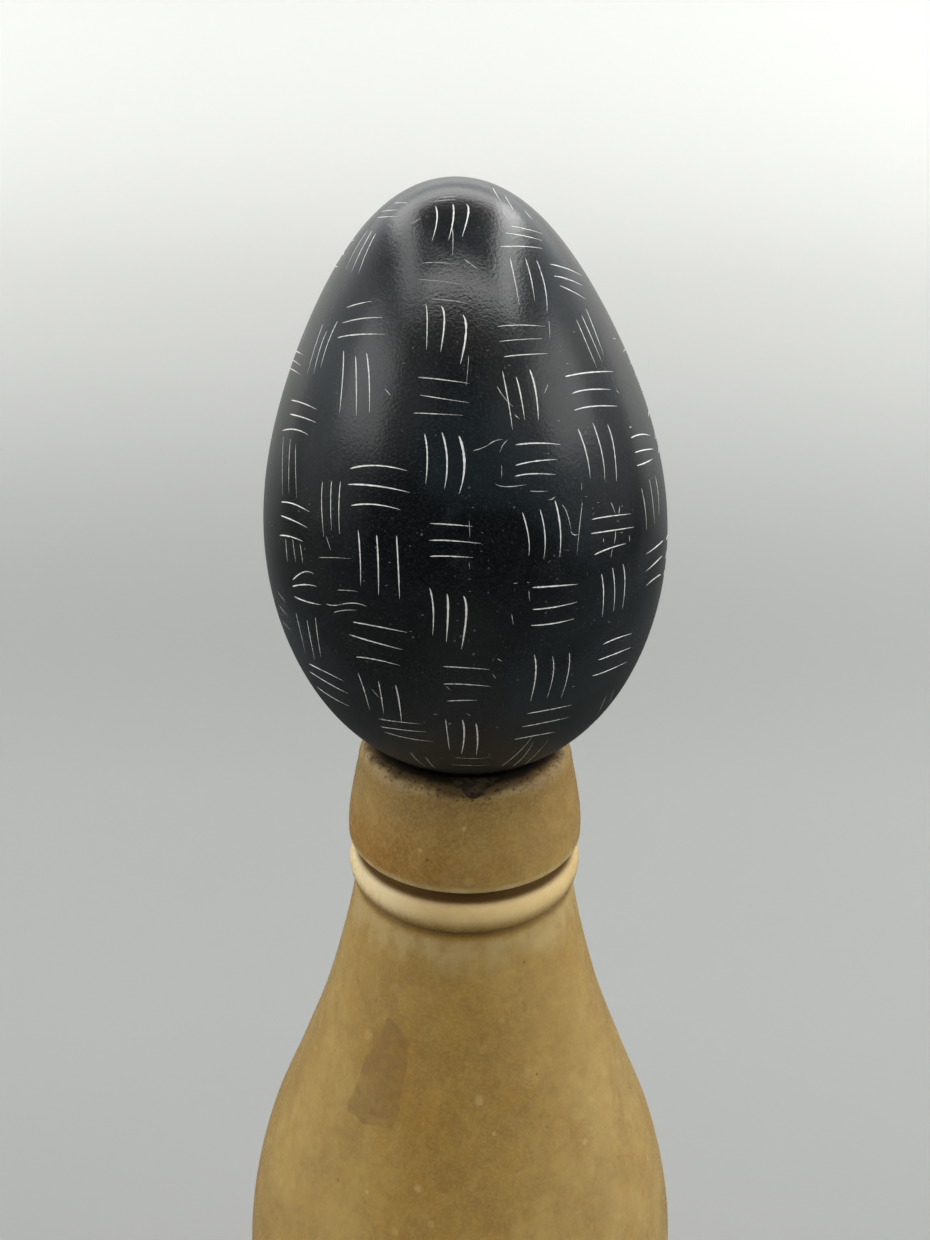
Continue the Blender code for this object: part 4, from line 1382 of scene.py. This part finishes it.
def carving_tree():
    """Geometry nodes: a smooth egg, less a tapered ragged groove along every stroke."""
    tree, given = start_geometry("carve_egg", {
        "Stroke lines": "Object", "Length": "Float", "Width": "Float", "Taper": "Float", "Flank": "Float",
        "Ends": "Float", "Middle": "Float", "Place": "Vector", "Turn": "Vector", "Sides": "Int",
        "Rings": "Int", "Groove spacing": "Float", "Raggedness": "Float", "Lift": "Float", "Seed": "Float",
        "Skin": "Material", "Cut": "Material"})
    egg = smooth_egg_nodes(tree, given)
    tool = graver_nodes(tree, given, egg)
    carved = put(tree, "GeometryNodeMeshBoolean", {"Mesh 1": egg, "Mesh 2": tool},
                 operation="DIFFERENCE", solver="EXACT")
    carved.inputs["Self Intersection"].default_value = True
    whole = put(tree, "GeometryNodeRealizeInstances", {"Geometry": carved.outputs[0]})
    waxed = put(tree, "GeometryNodeSetMaterial", {"Geometry": whole.outputs[0], "Material": given["Skin"]})
    is_cut = math_node(tree, "GREATER_THAN", held(tree, "cut_tone"), LEAST_TONE)
    bare = put(tree, "GeometryNodeSetMaterial", {
        "Geometry": waxed.outputs[0], "Material": given["Cut"], "Selection": is_cut})
    put(tree, "NodeGroupOutput", {0: bare.outputs[0]})
    return tree


def settle_egg_shading(mesh):
    """Give the skin the true egg's normals right up to the cuts, and the cuts their own flat ones."""
    mesh.shade_smooth()
    smooth = egg_normals(points_and_normals(mesh)[0])
    corners = np.empty(len(mesh.loops), dtype=np.int32)
    mesh.loops.foreach_get("vertex_index", corners)
    starts = np.empty(len(mesh.polygons), dtype=np.int32)
    mesh.polygons.foreach_get("loop_start", starts)
    cut = np.empty(len(mesh.polygons), dtype=np.int32)
    mesh.polygons.foreach_get("material_index", cut)
    flat = np.empty(3 * len(mesh.polygons))
    mesh.polygons.foreach_get("normal", flat)
    face_of = np.searchsorted(starts, np.arange(len(corners)), side="right") - 1
    is_cut = cut[face_of] == 1
    chosen = np.where(is_cut[:, None], flat.reshape(-1, 3)[face_of], smooth[corners])
    mesh.normals_split_custom_set(chosen.tolist())


def waxed_stone_finish():
    """Dyed and waxed black stone: clouded blue and brown, with dust in its pores and fine hairlines."""
    material, surface = start_finish("dyed_black_stone", DYED_BLACK, 0.3)
    tree = material.node_tree
    place = put(tree, "ShaderNodeTexCoord").outputs["Object"]
    elsewhere = moved_place(tree, place, shift=(0.21, 0.43, 0.17))
    blue = mark(tree, clouding, place, Scale=58.0, Detail=4.0, Warp=0.7, Low=0.42, High=0.68)
    brown = mark(tree, clouding, elsewhere, Scale=46.0, Detail=4.0, Warp=0.9, Low=0.50, High=0.72)
    rubbed = mark(tree, clouding, elsewhere, Scale=240.0, Detail=5.0, Warp=0.4, Low=0.54, High=0.80)
    grit = mark(tree, clouding, place, Scale=4200.0, Detail=2.0, Low=0.44, High=0.70)
    dusty_place = mark(tree, clouding, elsewhere, Scale=90.0, Detail=2.0, Low=0.40, High=0.62)
    dust = mark(tree, dots, place, Scale=1500.0, Size=0.26, Share=0.09)
    fine_dust = mark(tree, dots, elsewhere, Scale=3000.0, Size=0.30, Share=0.10)
    up_place = moved_place(tree, place, turn=(0.12, 0.10, 0.0), stretch=(1.0, 1.0, 0.05))
    side_place = moved_place(tree, place, turn=(0.0, 0.9, 0.4), stretch=(1.0, 1.0, 0.06))
    up_hairs = mark(tree, dots, up_place, Scale=2400.0, Size=0.09, Share=0.035)
    side_hairs = mark(tree, dots, side_place, Scale=1900.0, Size=0.07, Share=0.03)
    height = parts_of(tree, place)["Z"]
    unwaxed = ease(tree, height, egg_low.z + WAXED_ABOVE, egg_low.z + UNWAXED_BELOW)
    rubbed_low = plus(tree, times(tree, grit, 0.26), (unwaxed, 0.16))
    dusted = most(tree, times(tree, dust, dusty_place, 0.45), times(tree, fine_dust, 0.20),
                  times(tree, up_hairs, 0.26), times(tree, side_hairs, 0.24))
    colour = coats(tree, DYED_BLACK, (
        (BLUE_BLACK, blue, 0.65),
        (BROWN_BLACK, brown, 0.6),
        (RUBBED_GREY, rubbed, 0.20),
        (RUBBED_GREY, rubbed_low),
        (STONE_DUST, dusted)))
    tree.links.new(colour, surface.inputs["Base Color"])
    rough = plus(tree, 0.190, (rubbed, 0.09), (blue, 0.03), (grit, 0.05), (unwaxed, 0.30))
    tree.links.new(rough, surface.inputs["Roughness"])
    waves = mark(tree, grain, place, Grain_scale=3000.0, Wave_scale=110.0, Wave_share=1.5)
    bump = put(tree, "ShaderNodeBump", {"Height": waves, "Strength": 1.0, "Distance": 0.000021})
    tree.links.new(bump.outputs[0], surface.inputs["Normal"])
    return material


def bare_cut_finish():
    """Pale crumbly stone in the cuts. A cut's tone says how clean it is, and dye is left in low spots."""
    material, surface = start_finish("bare_cut_stone", PALE_STONE, 0.85)
    tree = material.node_tree
    place = put(tree, "ShaderNodeTexCoord").outputs["Object"]
    tone = kept(tree, "cut_tone")
    crumbs = mark(tree, clouding, place, Scale=2900.0, Detail=3.0, Low=0.34, High=0.54)
    clean = times(tree, tone, ease(tree, crumbs, 0.0, 1.0, 0.65, 1.0))
    colour = tint(tree, ease(tree, clean, 0.0, 0.35), DYED_BLACK, DUSTY_CUT)
    colour = tint(tree, ease(tree, clean, 0.10, 0.88), colour, PALE_STONE)
    tree.links.new(colour, surface.inputs["Base Color"])
    rough_floor = mark(tree, grain, place, Grain_scale=6000.0, Wave_scale=1500.0, Wave_share=1.0)
    bump = put(tree, "ShaderNodeBump", {"Height": rough_floor, "Strength": 0.4, "Distance": 0.00004})
    tree.links.new(bump.outputs[0], surface.inputs["Normal"])
    return material


skin_tree = plain_egg_tree()
seen = seen_strokes(skin_tree)
lines = stroke_lines(seen + hidden_strokes(random.Random(HIDDEN_SEED), seen))
egg = made_by_nodes("cut_stone_egg", carving_tree(), {
    "Stroke lines": lines, "Length": EGG_LENGTH, "Width": EGG_WIDTH, "Taper": EGG_TAPER, "Flank": EGG_FLANK,
    "Ends": EGG_ENDS, "Middle": egg_middle, "Place": egg_place, "Turn": (0.0, -EGG_LEAN, 0.0),
    "Sides": EGG_SIDES, "Rings": EGG_RINGS, "Groove spacing": GROOVE_SPACING,
    "Raggedness": GROOVE_RAGGEDNESS, "Lift": GRAVER_LIFT, "Seed": GROOVE_SEED,
    "Skin": waxed_stone_finish(), "Cut": bare_cut_finish()})
bpy.data.objects.remove(lines)
settle_egg_shading(egg.data)
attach(egg, "root")
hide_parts("carved_egg")
